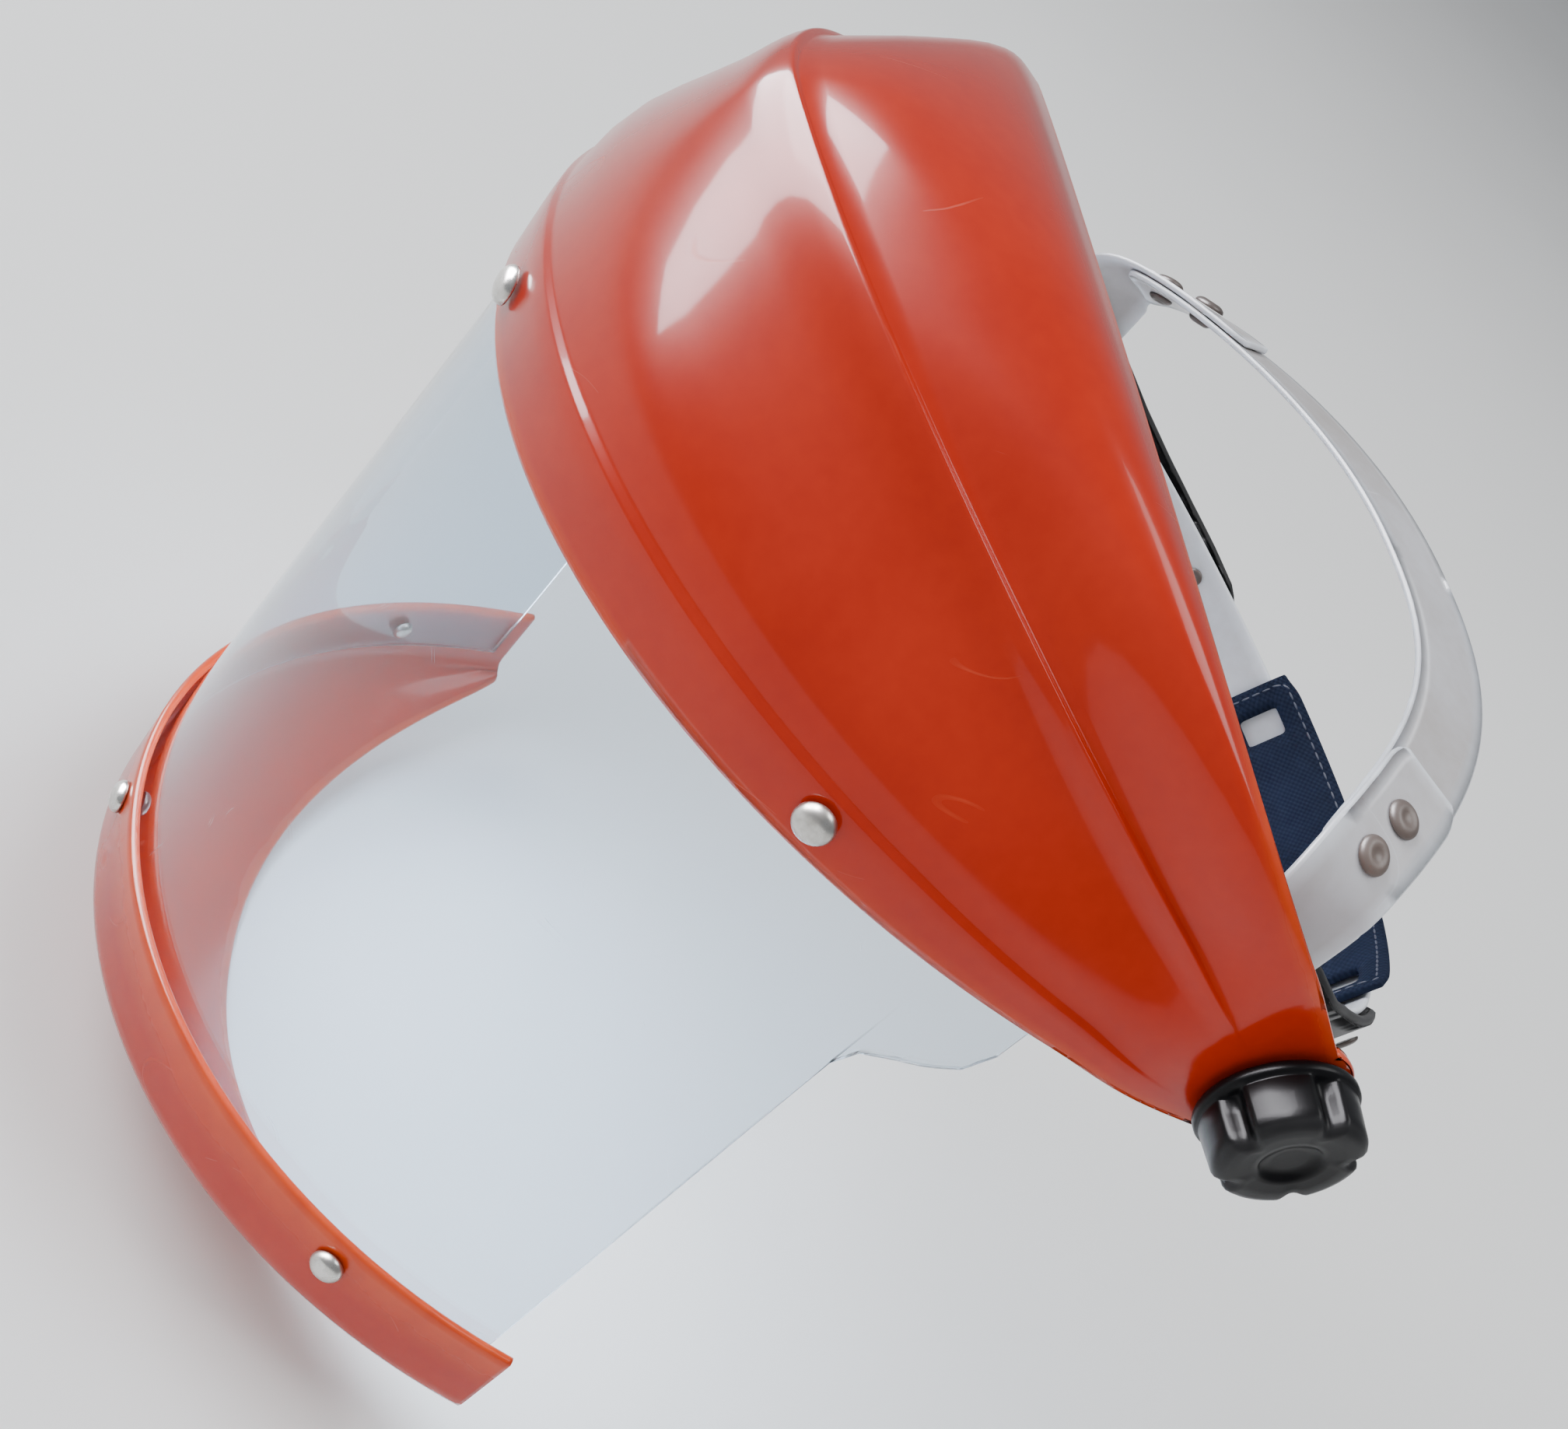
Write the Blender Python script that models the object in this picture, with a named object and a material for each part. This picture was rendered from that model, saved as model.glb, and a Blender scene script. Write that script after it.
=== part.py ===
"""Industrial face shield: moulded crown, clear visor and chin guard hinged on a head harness.

Metres. +X is the wearer's left, -Y is forward, +Z is up. The origin is the middle of the
hinge axis, which is also the centre of the head ring.
"""

import math

import bpy
import numpy as np

# Driving dimensions, in metres and degrees.
EAR_X = 0.1270
EAR_R = 0.0150
CROWN_T = 0.0024
EDGE_Y = -0.1572
EDGE_Z = -0.0102
MARGIN = 0.0200
RIB_H = 0.0016
SEAT_STEP = 0.0010

VISOR_T = 0.0010
VISOR_TOP = 0.0080
VISOR_LOW = -0.1890
VISOR_A = 0.1230
VISOR_B = 0.1532
VISOR_FLARE_A = 0.0010
VISOR_FLARE_B = 0.0078
VISOR_SIDE_Y = -0.0622
VISOR_SIDE_LEAN = 0.0035

CHIN_T = 0.0022
CHIN_H = 0.0270
FLANGE_IN = 0.0480
FLANGE_DROP = 0.0300

RING_A = 0.0935
RING_FRONT = 0.1020
RING_BACK = 0.1140
NAPE_POWER = 2.0
RING_TILT = math.radians(22.0)
BAND_T = 0.0015
BROW_H = 0.0250
NAPE_H = 0.0140
PAD_HALF = 0.0550
PAD_SHIFT = 0.0080
PAD_H = 0.0250
PAD_T = 0.0050

ARM_IN = 0.0953
ARM_T = 0.0030
PLATE_IN = 0.0986
PLATE_T = 0.0015
SPACER_IN = 0.1004
WASHER_IN = 0.1273
KNOB_IN = 0.1288
KNOB_DEEP = 0.0124
KNOB_R = 0.0150
SHANK_R = 0.0030
GAP = 0.0003

STRAP_W = 0.0200
STRAP_TOP_Y = 0.0480
STRAP_TOP_Z = 0.0440
STRAP_FOOT_Z = 0.0180
STRAP_STUDS = (0.45, 0.64)

ORANGE = (0.72, 0.10, 0.015, 1.0)
CLEAR = (0.80, 0.88, 0.93, 0.35)
BLACK = (0.012, 0.012, 0.014, 1.0)
WHITE = (0.72, 0.74, 0.76, 1.0)
NAVY = (0.020, 0.026, 0.045, 1.0)
STEEL = (0.62, 0.60, 0.57, 1.0)
STUD = (0.16, 0.13, 0.12, 1.0)
FOAM = (0.10, 0.09, 0.09, 1.0)


def clear_scene():
    for obj in list(bpy.data.objects):
        bpy.data.objects.remove(obj, do_unlink=True)


def make_collection(name):
    group = bpy.data.collections.new(name)
    bpy.context.scene.collection.children.link(group)
    return group


def material(name, colour, metallic=0.0, roughness=0.4):
    found = bpy.data.materials.new(name)
    found.use_nodes = True
    shader = found.node_tree.nodes["Principled BSDF"]
    shader.inputs["Base Color"].default_value = colour
    shader.inputs["Metallic"].default_value = metallic
    shader.inputs["Roughness"].default_value = roughness
    shader.inputs["Alpha"].default_value = colour[3]
    found.diffuse_color = colour
    return found


def add_mesh(group, name, points, faces, look):
    """A mesh object from points and faces, turned to face outwards."""
    points = np.asarray(points, float)
    volume = 0.0
    for face in faces:
        for k in range(1, len(face) - 1):
            a, b, c = points[face[0]], points[face[k]], points[face[k + 1]]
            volume += float(np.dot(a, np.cross(b, c)))
    if volume < 0:
        faces = [tuple(reversed(face)) for face in faces]
    mesh = bpy.data.meshes.new(name)
    mesh.from_pydata([tuple(p) for p in points], [], [tuple(f) for f in faces])
    mesh.update()
    obj = bpy.data.objects.new(name, mesh)
    if look is not None:
        mesh.materials.append(look)
    group.objects.link(obj)
    return obj


def unit(vectors):
    length = np.linalg.norm(vectors, axis=-1, keepdims=True)
    return vectors / np.maximum(length, 1e-12)


def grid_normals(grid):
    down = np.gradient(grid, axis=0)
    across = np.gradient(grid, axis=1)
    return unit(np.cross(down, across))


def shell(group, name, outer, inner, look, rim=0.3):
    """A closed sheet between two matching grids, with a rounded edge all round."""
    rows, cols = outer.shape[:2]
    points = [p for p in outer.reshape(-1, 3)] + [p for p in inner.reshape(-1, 3)]
    other = rows * cols
    faces = []
    for r in range(rows - 1):
        for c in range(cols - 1):
            a = r * cols + c
            faces.append((a, a + 1, a + cols + 1, a + cols))
            faces.append((other + a, other + a + cols, other + a + cols + 1, other + a + 1))
    loop = [(0, c) for c in range(cols - 1)]
    loop += [(r, cols - 1) for r in range(rows - 1)]
    loop += [(rows - 1, c) for c in range(cols - 1, 0, -1)]
    loop += [(r, 0) for r in range(rows - 1, 0, -1)]
    ring = []
    for r, c in loop:
        out = np.zeros(3)
        if r in (0, rows - 1):
            out += unit(outer[r, c] - outer[1 if r == 0 else rows - 2, c])
        if c in (0, cols - 1):
            out += unit(outer[r, c] - outer[r, 1 if c == 0 else cols - 2])
        thick = np.linalg.norm(outer[r, c] - inner[r, c])
        ring.append(len(points))
        points.append((outer[r, c] + inner[r, c]) / 2 + unit(out) * thick * rim)
    count = len(loop)
    for k in range(count):
        r, c = loop[k]
        r2, c2 = loop[(k + 1) % count]
        a, b = r * cols + c, r2 * cols + c2
        m, n = ring[k], ring[(k + 1) % count]
        faces.append((b, a, m, n))
        faces.append((n, m, other + a, other + b))
    return add_mesh(group, name, points, faces, look)


def turned(group, name, profile, side, look, y=0.0, z=0.0, count=32, lobes=None):
    """A solid turned about an axis along X. profile is (x, radius) from one end to the other."""
    points = []
    faces = []
    rings = []
    for x, radius, *extra in profile:
        if radius <= 0:
            rings.append([len(points)])
            points.append((side * x, y, z))
            continue
        ring = []
        for k in range(count):
            angle = 2 * math.pi * k / count
            r = radius * (lobes(angle) if lobes and extra else 1.0)
            ring.append(len(points))
            points.append((side * x, y + r * math.cos(angle), z + r * math.sin(angle)))
        rings.append(ring)
    for one, two in zip(rings, rings[1:]):
        for k in range(count):
            n = (k + 1) % count
            if len(one) == 1:
                faces.append((one[0], two[n], two[k]))
            elif len(two) == 1:
                faces.append((one[k], one[n], two[0]))
            else:
                faces.append((one[k], one[n], two[n], two[k]))
    if len(rings[0]) > 1 and len(rings[-1]) > 1:
        for k in range(count):
            n = (k + 1) % count
            faces.append((rings[-1][k], rings[-1][n], rings[0][n], rings[0][k]))
    return add_mesh(group, name, points, faces, look)


def aimed(group, name, profile, place, direction, look, count=20):
    """A solid turned about any direction. profile is (distance along it, radius)."""
    d = unit(np.asarray(direction, float))
    side = unit(np.cross(d, (0.0, 0.0, 1.0)))
    up = np.cross(side, d)
    points = []
    rings = []
    for along, radius in profile:
        centre = np.asarray(place) + d * along
        if radius <= 0:
            rings.append([len(points)])
            points.append(centre)
            continue
        ring = []
        for k in range(count):
            angle = 2 * math.pi * (k + 0.37) / count
            ring.append(len(points))
            points.append(centre + radius * (side * math.cos(angle) + up * math.sin(angle)))
        rings.append(ring)
    faces = []
    for one, two in zip(rings, rings[1:]):
        for k in range(count):
            n = (k + 1) % count
            if len(one) == 1:
                faces.append((one[0], two[n], two[k]))
            elif len(two) == 1:
                faces.append((one[k], one[n], two[0]))
            else:
                faces.append((one[k], one[n], two[n], two[k]))
    return add_mesh(group, name, points, faces, look)


def cut(obj, cutters, place, direction, radius, half):
    """A round hole through obj about a point."""
    tool = aimed(
        cutters,
        "cut_" + obj.name,
        [(-half, 0), (-half, radius), (half, radius), (half, 0)],
        place,
        direction,
        None,
        24,
    )
    tool.hide_render = True
    tool.display_type = "WIRE"
    hole = obj.modifiers.new("hole", "BOOLEAN")
    hole.operation = "DIFFERENCE"
    hole.solver = "EXACT"
    hole.object = tool


def smooth(low, high, value):
    k = np.clip((value - low) / (high - low), 0.0, 1.0)
    return k * k * (3 - 2 * k)


def meridian(t, half, power, end, middle):
    """A curve from the left ear over the middle to the right ear."""
    c, s = np.cos(t), np.sin(t)
    x = half * np.sign(c) * np.abs(c) ** (2 / power)
    k = np.abs(s) ** (2 / power)
    y = end[0] + (middle[0] - end[0]) * k
    z = end[1] + (middle[1] - end[1]) * k
    return np.stack([x, y, z], axis=-1)


def ear_point(degrees):
    angle = math.radians(degrees)
    return (EAR_R * math.cos(angle), EAR_R * math.sin(angle))


def crown_edge(t):
    return meridian(t, 0.1262, 2.03, ear_point(-95), (EDGE_Y, EDGE_Z))


# The crown's middle section from the front edge over the brow to the rear edge: (y, z).
CROWN_PROFILE = [
    (EDGE_Y, EDGE_Z),
    (-0.1571, 0.0098),
    (-0.1515, 0.0355),
    (-0.1392, 0.0622),
    (-0.1265, 0.0685),
    (-0.1110, 0.0718),
    (-0.0865, 0.0722),
    (-0.0722, 0.0665),
]
RIB_AT = 3


def along(guides, where):
    """Points at given distances on a smooth curve through the guide points."""
    guides = np.asarray(guides, float)
    step = np.linalg.norm(np.diff(guides, axis=0), axis=1)
    knots = np.concatenate([[0], np.cumsum(step)])
    slopes = np.empty_like(guides)
    slopes[0] = (guides[1] - guides[0]) / step[0]
    slopes[-1] = (guides[-1] - guides[-2]) / step[-1]
    for k in range(1, len(guides) - 1):
        a = (guides[k] - guides[k - 1]) / step[k - 1]
        b = (guides[k + 1] - guides[k]) / step[k]
        slopes[k] = (a * step[k] + b * step[k - 1]) / (step[k] + step[k - 1])
    out = []
    for s in where:
        k = int(np.clip(np.searchsorted(knots, s) - 1, 0, len(step) - 1))
        h = step[k]
        w = (s - knots[k]) / h
        out.append(
            (2 * w**3 - 3 * w**2 + 1) * guides[k]
            + (w**3 - 2 * w**2 + w) * h * slopes[k]
            + (3 * w**2 - 2 * w**3) * guides[k + 1]
            + (w**3 - w**2) * h * slopes[k + 1]
        )
    return np.array(out), knots


def crown_rows(t):
    """Distances along the middle section of this column's points, and how far each is raised."""
    _, knots = along(CROWN_PROFILE, [0.0])
    total = knots[-1]
    s = abs(math.sin(t)) ** 0.93
    narrow = s + (1 - s) * 2 * EAR_R / total
    k = min(1.0, 1.0 / narrow)
    margin = MARGIN * min(1.0, (0.35 + 0.65 * s) / narrow * 0.9)
    margin = min(margin, 0.45 * knots[RIB_AT])
    rib = knots[RIB_AT] + 0.0060 * (1 - s)
    soft = min(0.0150 * k, 0.80 * (rib - margin - 0.0030 * k))
    start = margin + 0.0030 * k
    foot = rib - soft
    where = [0.0, margin * 0.5, margin, start]
    lift = [0.0, 0.0, 0.0, -SEAT_STEP]
    for f in (0.35, 0.70):
        where.append(start + (foot - start) * f)
        lift.append(-SEAT_STEP)
    for f, h in ((0.0, 0.0), (0.35, 0.42), (0.7, 0.86), (1.0, 1.0)):
        where.append(foot + soft * f)
        lift.append(-SEAT_STEP + RIB_H * h)
    after = rib + 0.0016 * k
    where.append(after)
    lift.append(-SEAT_STEP)
    for f in (0.16, 0.34, 0.52, 0.70, 0.80, 0.88, 0.94, 1.0):
        where.append(after + (total - after) * f)
        lift.append(-SEAT_STEP)
    return where, lift, total


def crown_grids():
    values = np.linspace(0.0, math.pi, 61)
    base = []
    raised = []
    for t in values:
        where, lift, total = crown_rows(t)
        middle = along(CROWN_PROFILE, where)[0]
        share = np.array(where) / total
        power = 2.03 - 0.44 * smooth(0.18, 0.50, share) + 0.78 * smooth(0.52, 1.05, share)
        half = 0.1262 + 0.0040 * smooth(0.1, 1.0, share)
        c, s = math.cos(t), abs(math.sin(t))
        k = s ** (2 / power)
        # The lower edge runs past the bolt below it and the rear edge above it.
        low = np.array(ear_point(-95))
        high = np.array(ear_point(85))
        end = low + (high - low) * share[:, None]
        x = half * np.sign(c) * abs(c) ** (2 / power)
        y = end[:, 0] + (middle[:, 0] - end[:, 0]) * k
        z = end[:, 1] + (middle[:, 1] - end[:, 1]) * k
        base.append(np.stack([x, y, z], axis=-1))
        raised.append(lift)
    base = np.stack(base, axis=1)
    lift = np.stack(raised, axis=1)
    # Two more columns at each end close the ear in a half circle behind the bolt.
    for turn in (45, 90):
        for first in (True, False):
            share = np.linspace(-95, 85, base.shape[0])
            place = np.radians(share)
            reach = math.sin(math.radians(turn))
            y = EAR_R * np.maximum(np.cos(place), 0.0) * reach
            x = np.full_like(y, EAR_X if first else -EAR_X)
            if first:
                z = base[:, 0, 2] * (1 - reach) + EAR_R * np.sin(place) * reach
                y = np.maximum(y, base[:, 0, 1] + 0.0002)
                column = np.stack([x, y, z], axis=-1)[:, None]
                base = np.concatenate([column, base], axis=1)
                lift = np.concatenate([lift[:, :1], lift], axis=1)
            else:
                z = base[:, -1, 2] * (1 - reach) + EAR_R * np.sin(place) * reach
                y = np.maximum(y, base[:, -1, 1] + 0.0002)
                column = np.stack([x, y, z], axis=-1)[:, None]
                base = np.concatenate([base, column], axis=1)
                lift = np.concatenate([lift, lift[:, -1:]], axis=1)
    away = np.hypot(base[..., 1], base[..., 2])
    flat = 1 - smooth(0.0170, 0.0420, away)
    base[..., 0] += (np.sign(base[..., 0]) * EAR_X - base[..., 0]) * flat
    normal = grid_normals(base)
    if normal[8, 32, 2] < 0:
        normal = -normal
    straight = np.zeros_like(base)
    straight[..., 0] = np.sign(base[..., 0])
    normal = unit(normal + (straight - normal) * smooth(0.0, 0.6, flat)[..., None])
    fade = smooth(0.0180, 0.0380, away)
    outer = base + normal * (lift * fade)[..., None]
    inner = base - normal * CROWN_T
    return outer, inner


def make_crown(group, cutters):
    outer, inner = crown_grids()
    crown = shell(group, "crown", outer, inner, material("crown", ORANGE, 0.0, 0.18), 0.35)
    for side in (1, -1):
        cut(crown, cutters, (side * EAR_X, 0, 0), (1, 0, 0), SHANK_R + GAP, 0.006)
    for place, normal in rivet_places(crown_rivets()):
        cut(crown, cutters, place, normal, 0.0021, 0.008)
    return crown


def visor_section(t, z, grow=0.0):
    """A point of the visor's middle surface, moved outwards by grow."""
    k = (VISOR_TOP - z) / (VISOR_TOP - VISOR_LOW)
    a = VISOR_A + VISOR_FLARE_A * k + grow
    b = VISOR_B + VISOR_FLARE_B * k + grow
    return np.stack([a * np.cos(t), -b * np.sin(t), z], axis=-1)


def visor_grids():
    """Columns run round the face, rows from the top edge to the bottom edge."""
    tab = math.asin(0.0420 / VISOR_B)
    side = math.asin(-VISOR_SIDE_Y / VISOR_B)
    inset = np.array([0.0, 0.12, 0.35, 0.6, 0.85, 0.96, 1.0])
    tab_low = np.array([-0.0240, -0.0315, -0.0355, -0.0382, -0.0415, -0.0480])
    left = tab + (side - tab) * inset
    middle = np.linspace(side, math.pi - side, 47)
    t = np.concatenate([left[:-1], middle, math.pi - left[::-1][1:]])
    rows = 9
    edge = crown_edge(t)[:, 2]
    # The top edge lies under the crown and sinks with it towards the ears.
    top = edge + 0.0180 * np.abs(np.sin(t)) ** 0.6
    low = np.full_like(t, VISOR_LOW)
    low += 0.0025 * np.sin(t) ** 4
    low[:6] = tab_low
    low[-6:] = tab_low[::-1]
    grids = []
    for grow in (VISOR_T / 2, -VISOR_T / 2):
        grid = []
        for r in range(rows):
            z = top + (low - top) * r / (rows - 1)
            lean = VISOR_SIDE_LEAN * np.clip((-0.055 - z) / 0.13, 0.0, 1.0) / VISOR_B
            lean = lean * (np.cos(t) / math.cos(side)) ** 3
            lean[:6] = lean[-6:] = 0.0
            grid.append(visor_section(t - lean, z, grow))
        grids.append(np.stack(grid))
    return grids


def crown_rivets():
    """Parameter values along the front edge where the visor is riveted."""
    return [math.pi / 2, 0.655, math.pi - 0.655]


def rivet_places(values):
    places = []
    for value in values:
        t = np.array([value])
        z = crown_edge(t)[0, 2] + 0.0085
        p = visor_section(t, np.array([z]), 0.0)[0]
        normal = unit(np.array([p[0] / VISOR_A**2, p[1] / VISOR_B**2, 0.0]))
        places.append((p, normal))
    return places


def chin_curve(t, grow=0.0):
    """The chin guard's outer face in plan, moved outwards by grow."""
    clear = VISOR_T / 2 + 0.0004 + CHIN_T
    a = VISOR_A + VISOR_FLARE_A + clear + grow
    b = VISOR_B + VISOR_FLARE_B + clear + grow
    return np.stack([a * np.cos(t), -b * np.sin(t)], axis=-1)


def chin_low(t):
    return -0.1990 + 0.0055 * np.sin(t) ** 3


def chin_places():
    """Rivets through the chin guard and the visor: places on the visor, and directions."""
    places = []
    for value in (math.pi / 2, 0.650, math.pi - 0.650):
        t = np.array([value])
        z = chin_low(t)[0] + 0.0185
        p = visor_section(t, np.array([z]), 0.0)[0]
        normal = unit(np.array([p[0] / VISOR_A**2, p[1] / VISOR_B**2, 0.0]))
        places.append((p, normal))
    return places


def make_visor(group, cutters):
    outer, inner = visor_grids()
    visor = shell(group, "visor", outer, inner, material("visor", CLEAR, 0.0, 0.05), 0.1)
    for place, normal in rivet_places(crown_rivets()) + chin_places():
        cut(visor, cutters, place, normal, 0.0021, 0.004)
    return visor


def make_chin_guard(group, cutters):
    """A strip round the visor's foot with a lip that slopes in and down under the chin."""
    end = math.asin(0.0575 / 0.1640)
    t = np.linspace(end, math.pi - end, 49)
    plan = chin_curve(t)
    tangent = np.gradient(plan, axis=0)
    inward = np.stack([tangent[:, 1], -tangent[:, 0]], axis=-1)
    inward = unit(inward)
    if inward[24, 1] < 0:
        inward = -inward
    low = chin_low(t)
    top = low + CHIN_H
    share = np.sin((t - end) / (math.pi - 2 * end) * math.pi) ** 0.85
    wide = 0.0064 + (FLANGE_IN - 0.0064) * share
    drop = 0.0004 + FLANGE_DROP * share
    points = []
    for k in range(len(t)):
        w, d = wide[k], drop[k]
        slope = d / w
        section = [
            (0.0000, top[k] - 0.0006),
            (0.0000, low[k] + 0.0060),
            (0.0006, low[k] + 0.0022),
            (0.0022, low[k] + 0.0002),
            (w * 0.5, low[k] - d * 0.46),
            (w - 0.0006, low[k] - d),
            (w, low[k] - d + 0.0010),
            (w - 0.0006, low[k] - d + 0.0022),
            (w * 0.5, low[k] - d * 0.46 + 0.0023),
            (0.0040, low[k] + 0.0026 - slope * 0.0010),
            (0.0027, low[k] + 0.0040),
            (CHIN_T, low[k] + 0.0066),
            (CHIN_T, top[k] - 0.0006),
            (CHIN_T * 0.5, top[k]),
        ]
        for inset, z in section:
            p = plan[k] + inward[k] * inset
            points.append((p[0], p[1], z))
    size = 14
    faces = []
    for k in range(len(t) - 1):
        for j in range(size):
            n = (j + 1) % size
            faces.append((k * size + j, k * size + n, (k + 1) * size + n, (k + 1) * size + j))
    faces.append(tuple(reversed(range(size))))
    last = (len(t) - 1) * size
    faces.append(tuple(last + j for j in range(size)))
    chin = add_mesh(group, "chin_guard", points, faces, material("chin_guard", ORANGE, 0.0, 0.2))
    for place, normal in chin_places():
        cut(chin, cutters, place, normal, 0.0021, 0.008)
    return chin


def make_rivet(group, name, place, normal, outside, look):
    """A tubular rivet: domed head outside, shank, and a smaller rolled head inside."""
    out = outside
    back = -VISOR_T / 2 - GAP
    profile = [
        (out + 0.0024, 0),
        (out + 0.0021, 0.0018),
        (out + 0.0013, 0.0034),
        (out + 0.0003, 0.0041),
        (out, 0.0040),
        (out, 0.0018),
        (back, 0.0018),
        (back, 0.0030),
        (back - 0.0008, 0.0031),
        (back - 0.0013, 0.0024),
        (back - 0.0013, 0.0014),
        (back - 0.0007, 0.0008),
        (back - 0.0007, 0),
    ]
    return aimed(group, name, profile, place, normal, look)


def make_rivets(group):
    look = material("rivet", STEEL, 1.0, 0.3)
    names = ("centre", "left", "right")
    crown_out = [0.00480, 0.00560, 0.00560]
    for name, (p, n), out in zip(names, rivet_places(crown_rivets()), crown_out):
        make_rivet(group, "crown_rivet_" + name, p, n, out, look)
    for name, (p, n) in zip(names, chin_places()):
        make_rivet(group, "chin_rivet_" + name, p, n, 0.00400, look)


def ring_point(x, y):
    """A point of the head ring's plane, which is low at the nape and high at the brow."""
    return np.stack([x, y * math.cos(RING_TILT), -y * math.sin(RING_TILT)], axis=-1)


RING_UP = np.array([0.0, math.sin(RING_TILT), math.cos(RING_TILT)])


def brow_curve(t, grow=0.0):
    a, b = RING_A + grow, RING_FRONT + grow
    c, s = np.cos(t), np.sin(t)
    return np.sign(c) * a * np.abs(c) ** (2 / 2.15), -b * np.abs(s) ** (2 / 2.15)


def nape_curve(t, grow=0.0):
    a, b = RING_A + grow, RING_BACK + grow
    c, s = np.cos(t), np.sin(t)
    e = 2 / NAPE_POWER
    return np.sign(c) * a * np.abs(c) ** e, b * np.abs(s) ** e


def ribbon(group, name, curve, t, grow, thick, height, look, rim=0.3, rows=3, round_ends=0.0):
    """A band standing on edge that follows a curve of the head ring."""
    grids = []
    for side in (grow + thick / 2, grow - thick / 2):
        x, y = curve(t, side)
        line = ring_point(x, y)
        count = len(t)
        share = np.ones(count)
        if round_ends > 0:
            share[0] = share[-1] = 1 - round_ends
            share[1] = share[-2] = 1 - round_ends * 0.25
        grid = []
        for r in range(rows):
            up = height * (r / (rows - 1) - 0.5)
            grid.append(line + RING_UP * up * share[:, None])
        grids.append(np.stack(grid))
    return shell(group, name, grids[0], grids[1], look, rim)


def make_head_ring(group, cutters):
    dark = material("brow_band", BLACK, 0.0, 0.45)
    t = np.linspace(0.235, math.pi - 0.235, 41)
    brow = ribbon(group, "brow_band", brow_curve, t, 0.0, BAND_T, BROW_H, dark, 0.3, 3, 0.3)
    t = np.linspace(0.50, math.pi - 0.50, 33)
    foam = material("brow_pad", FOAM, 0.0, 0.9)
    grow = -BAND_T / 2 - GAP - 0.0020
    ribbon(group, "brow_pad", brow_curve, t, grow, 0.0040, BROW_H + 0.004, foam, 0.45, 4, 0.2)
    pale = material("nape_band", WHITE, 0.0, 0.5)
    t = np.linspace(0.236, math.pi - 0.236, 45)
    nape = ribbon(group, "nape_band", nape_curve, t, 0.0, BAND_T, NAPE_H, pale, 0.3, 3, 0.3)
    for side in (1, -1):
        for band, y in ((brow, -0.040), (nape, 0.072)):
            p, n = arm_stud(side, y)
            cut(band, cutters, p, n, 0.0020 + GAP, 0.0030)


def make_nape_pad(group):
    """A soft pad on the band's inner face, with a window through it near each end."""
    cols = [-1.0, -0.965, -0.935, -0.895, -0.765, -0.70, -0.45, -0.2, 0.0]
    cols = cols + [-c for c in reversed(cols[:-1])]
    rows = [-1.0, -0.80, -0.42, 0.0, 0.42, 0.80, 1.0]
    points = []
    faces = []
    for layer in (0, 1):
        for v in rows:
            for u in cols:
                x = PAD_SHIFT + u * PAD_HALF
                puff = (1 - abs(u) ** 8) * (1 - abs(v) ** 4)
                thick = 0.0016 + (PAD_T - 0.0016) * puff
                inset = BAND_T / 2 + GAP * 2 + (0 if layer == 0 else thick)
                a, b = RING_A - inset, RING_BACK - inset
                y = b * (1 - abs(x / a) ** NAPE_POWER) ** (1 / NAPE_POWER)
                corner = 1 - 0.10 * smooth(0.90, 1.0, abs(u)) * abs(v)
                p = ring_point(np.array(x), np.array(y))
                points.append(p + RING_UP * v * corner * PAD_H / 2)
    nc, nr = len(cols), len(rows)
    open_cells = set()
    for c in (3, nc - 5):
        for r in (2, 3):
            open_cells.add((r, c))

    def at(layer, r, c):
        return (layer * nr + r) * nc + c

    for r in range(nr - 1):
        for c in range(nc - 1):
            if (r, c) in open_cells:
                continue
            faces.append((at(0, r, c), at(0, r, c + 1), at(0, r + 1, c + 1), at(0, r + 1, c)))
            faces.append((at(1, r, c), at(1, r + 1, c), at(1, r + 1, c + 1), at(1, r, c + 1)))
    edges = {}
    for r in range(nr - 1):
        for c in range(nc - 1):
            if (r, c) in open_cells:
                continue
            ring = [(r, c), (r, c + 1), (r + 1, c + 1), (r + 1, c)]
            for a, b in zip(ring, ring[1:] + ring[:1]):
                if (b, a) in edges:
                    del edges[(b, a)]
                else:
                    edges[(a, b)] = True
    for a, b in edges:
        faces.append((at(0, *b), at(0, *a), at(1, *a), at(1, *b)))
    return add_mesh(group, "nape_pad", points, faces, material("nape_pad", NAVY, 0.0, 0.85))


def make_side_arm(group, cutters, side, name):
    """A moulded arm outside the ring that joins the bands and carries the hinge bolt."""
    look = material("side_arm", BLACK, 0.0, 0.4)
    along_y = [-0.052, -0.045, -0.030, -0.015, 0.0, 0.015, 0.030, 0.045, 0.058, 0.070, 0.080, 0.084]
    half = [0.0070, 0.0095, 0.0105, 0.0125, 0.0135, 0.0125, 0.0105, 0.0095, 0.0090, 0.0088, 0.0082, 0.0060]
    grids = []
    for layer in (1, 0):
        grid = []
        for r in np.linspace(-1.0, 1.0, 5):
            line = []
            for y, h in zip(along_y, half):
                x = arm_face(y) + layer * ARM_T
                p = ring_point(np.array(side * x), np.array(y))
                line.append(p + RING_UP * h * r)
            grid.append(line)
        grids.append(np.array(grid))
    arm = shell(group, name, grids[0], grids[1], look, 0.3)
    cut(arm, cutters, (side * ARM_IN, 0, 0), (1, 0, 0), SHANK_R + GAP, 0.008)
    for y in (-0.040, 0.072):
        p, n = arm_stud(side, y)
        cut(arm, cutters, p, n, 0.0020 + GAP, 0.0080)
    return arm


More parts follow.
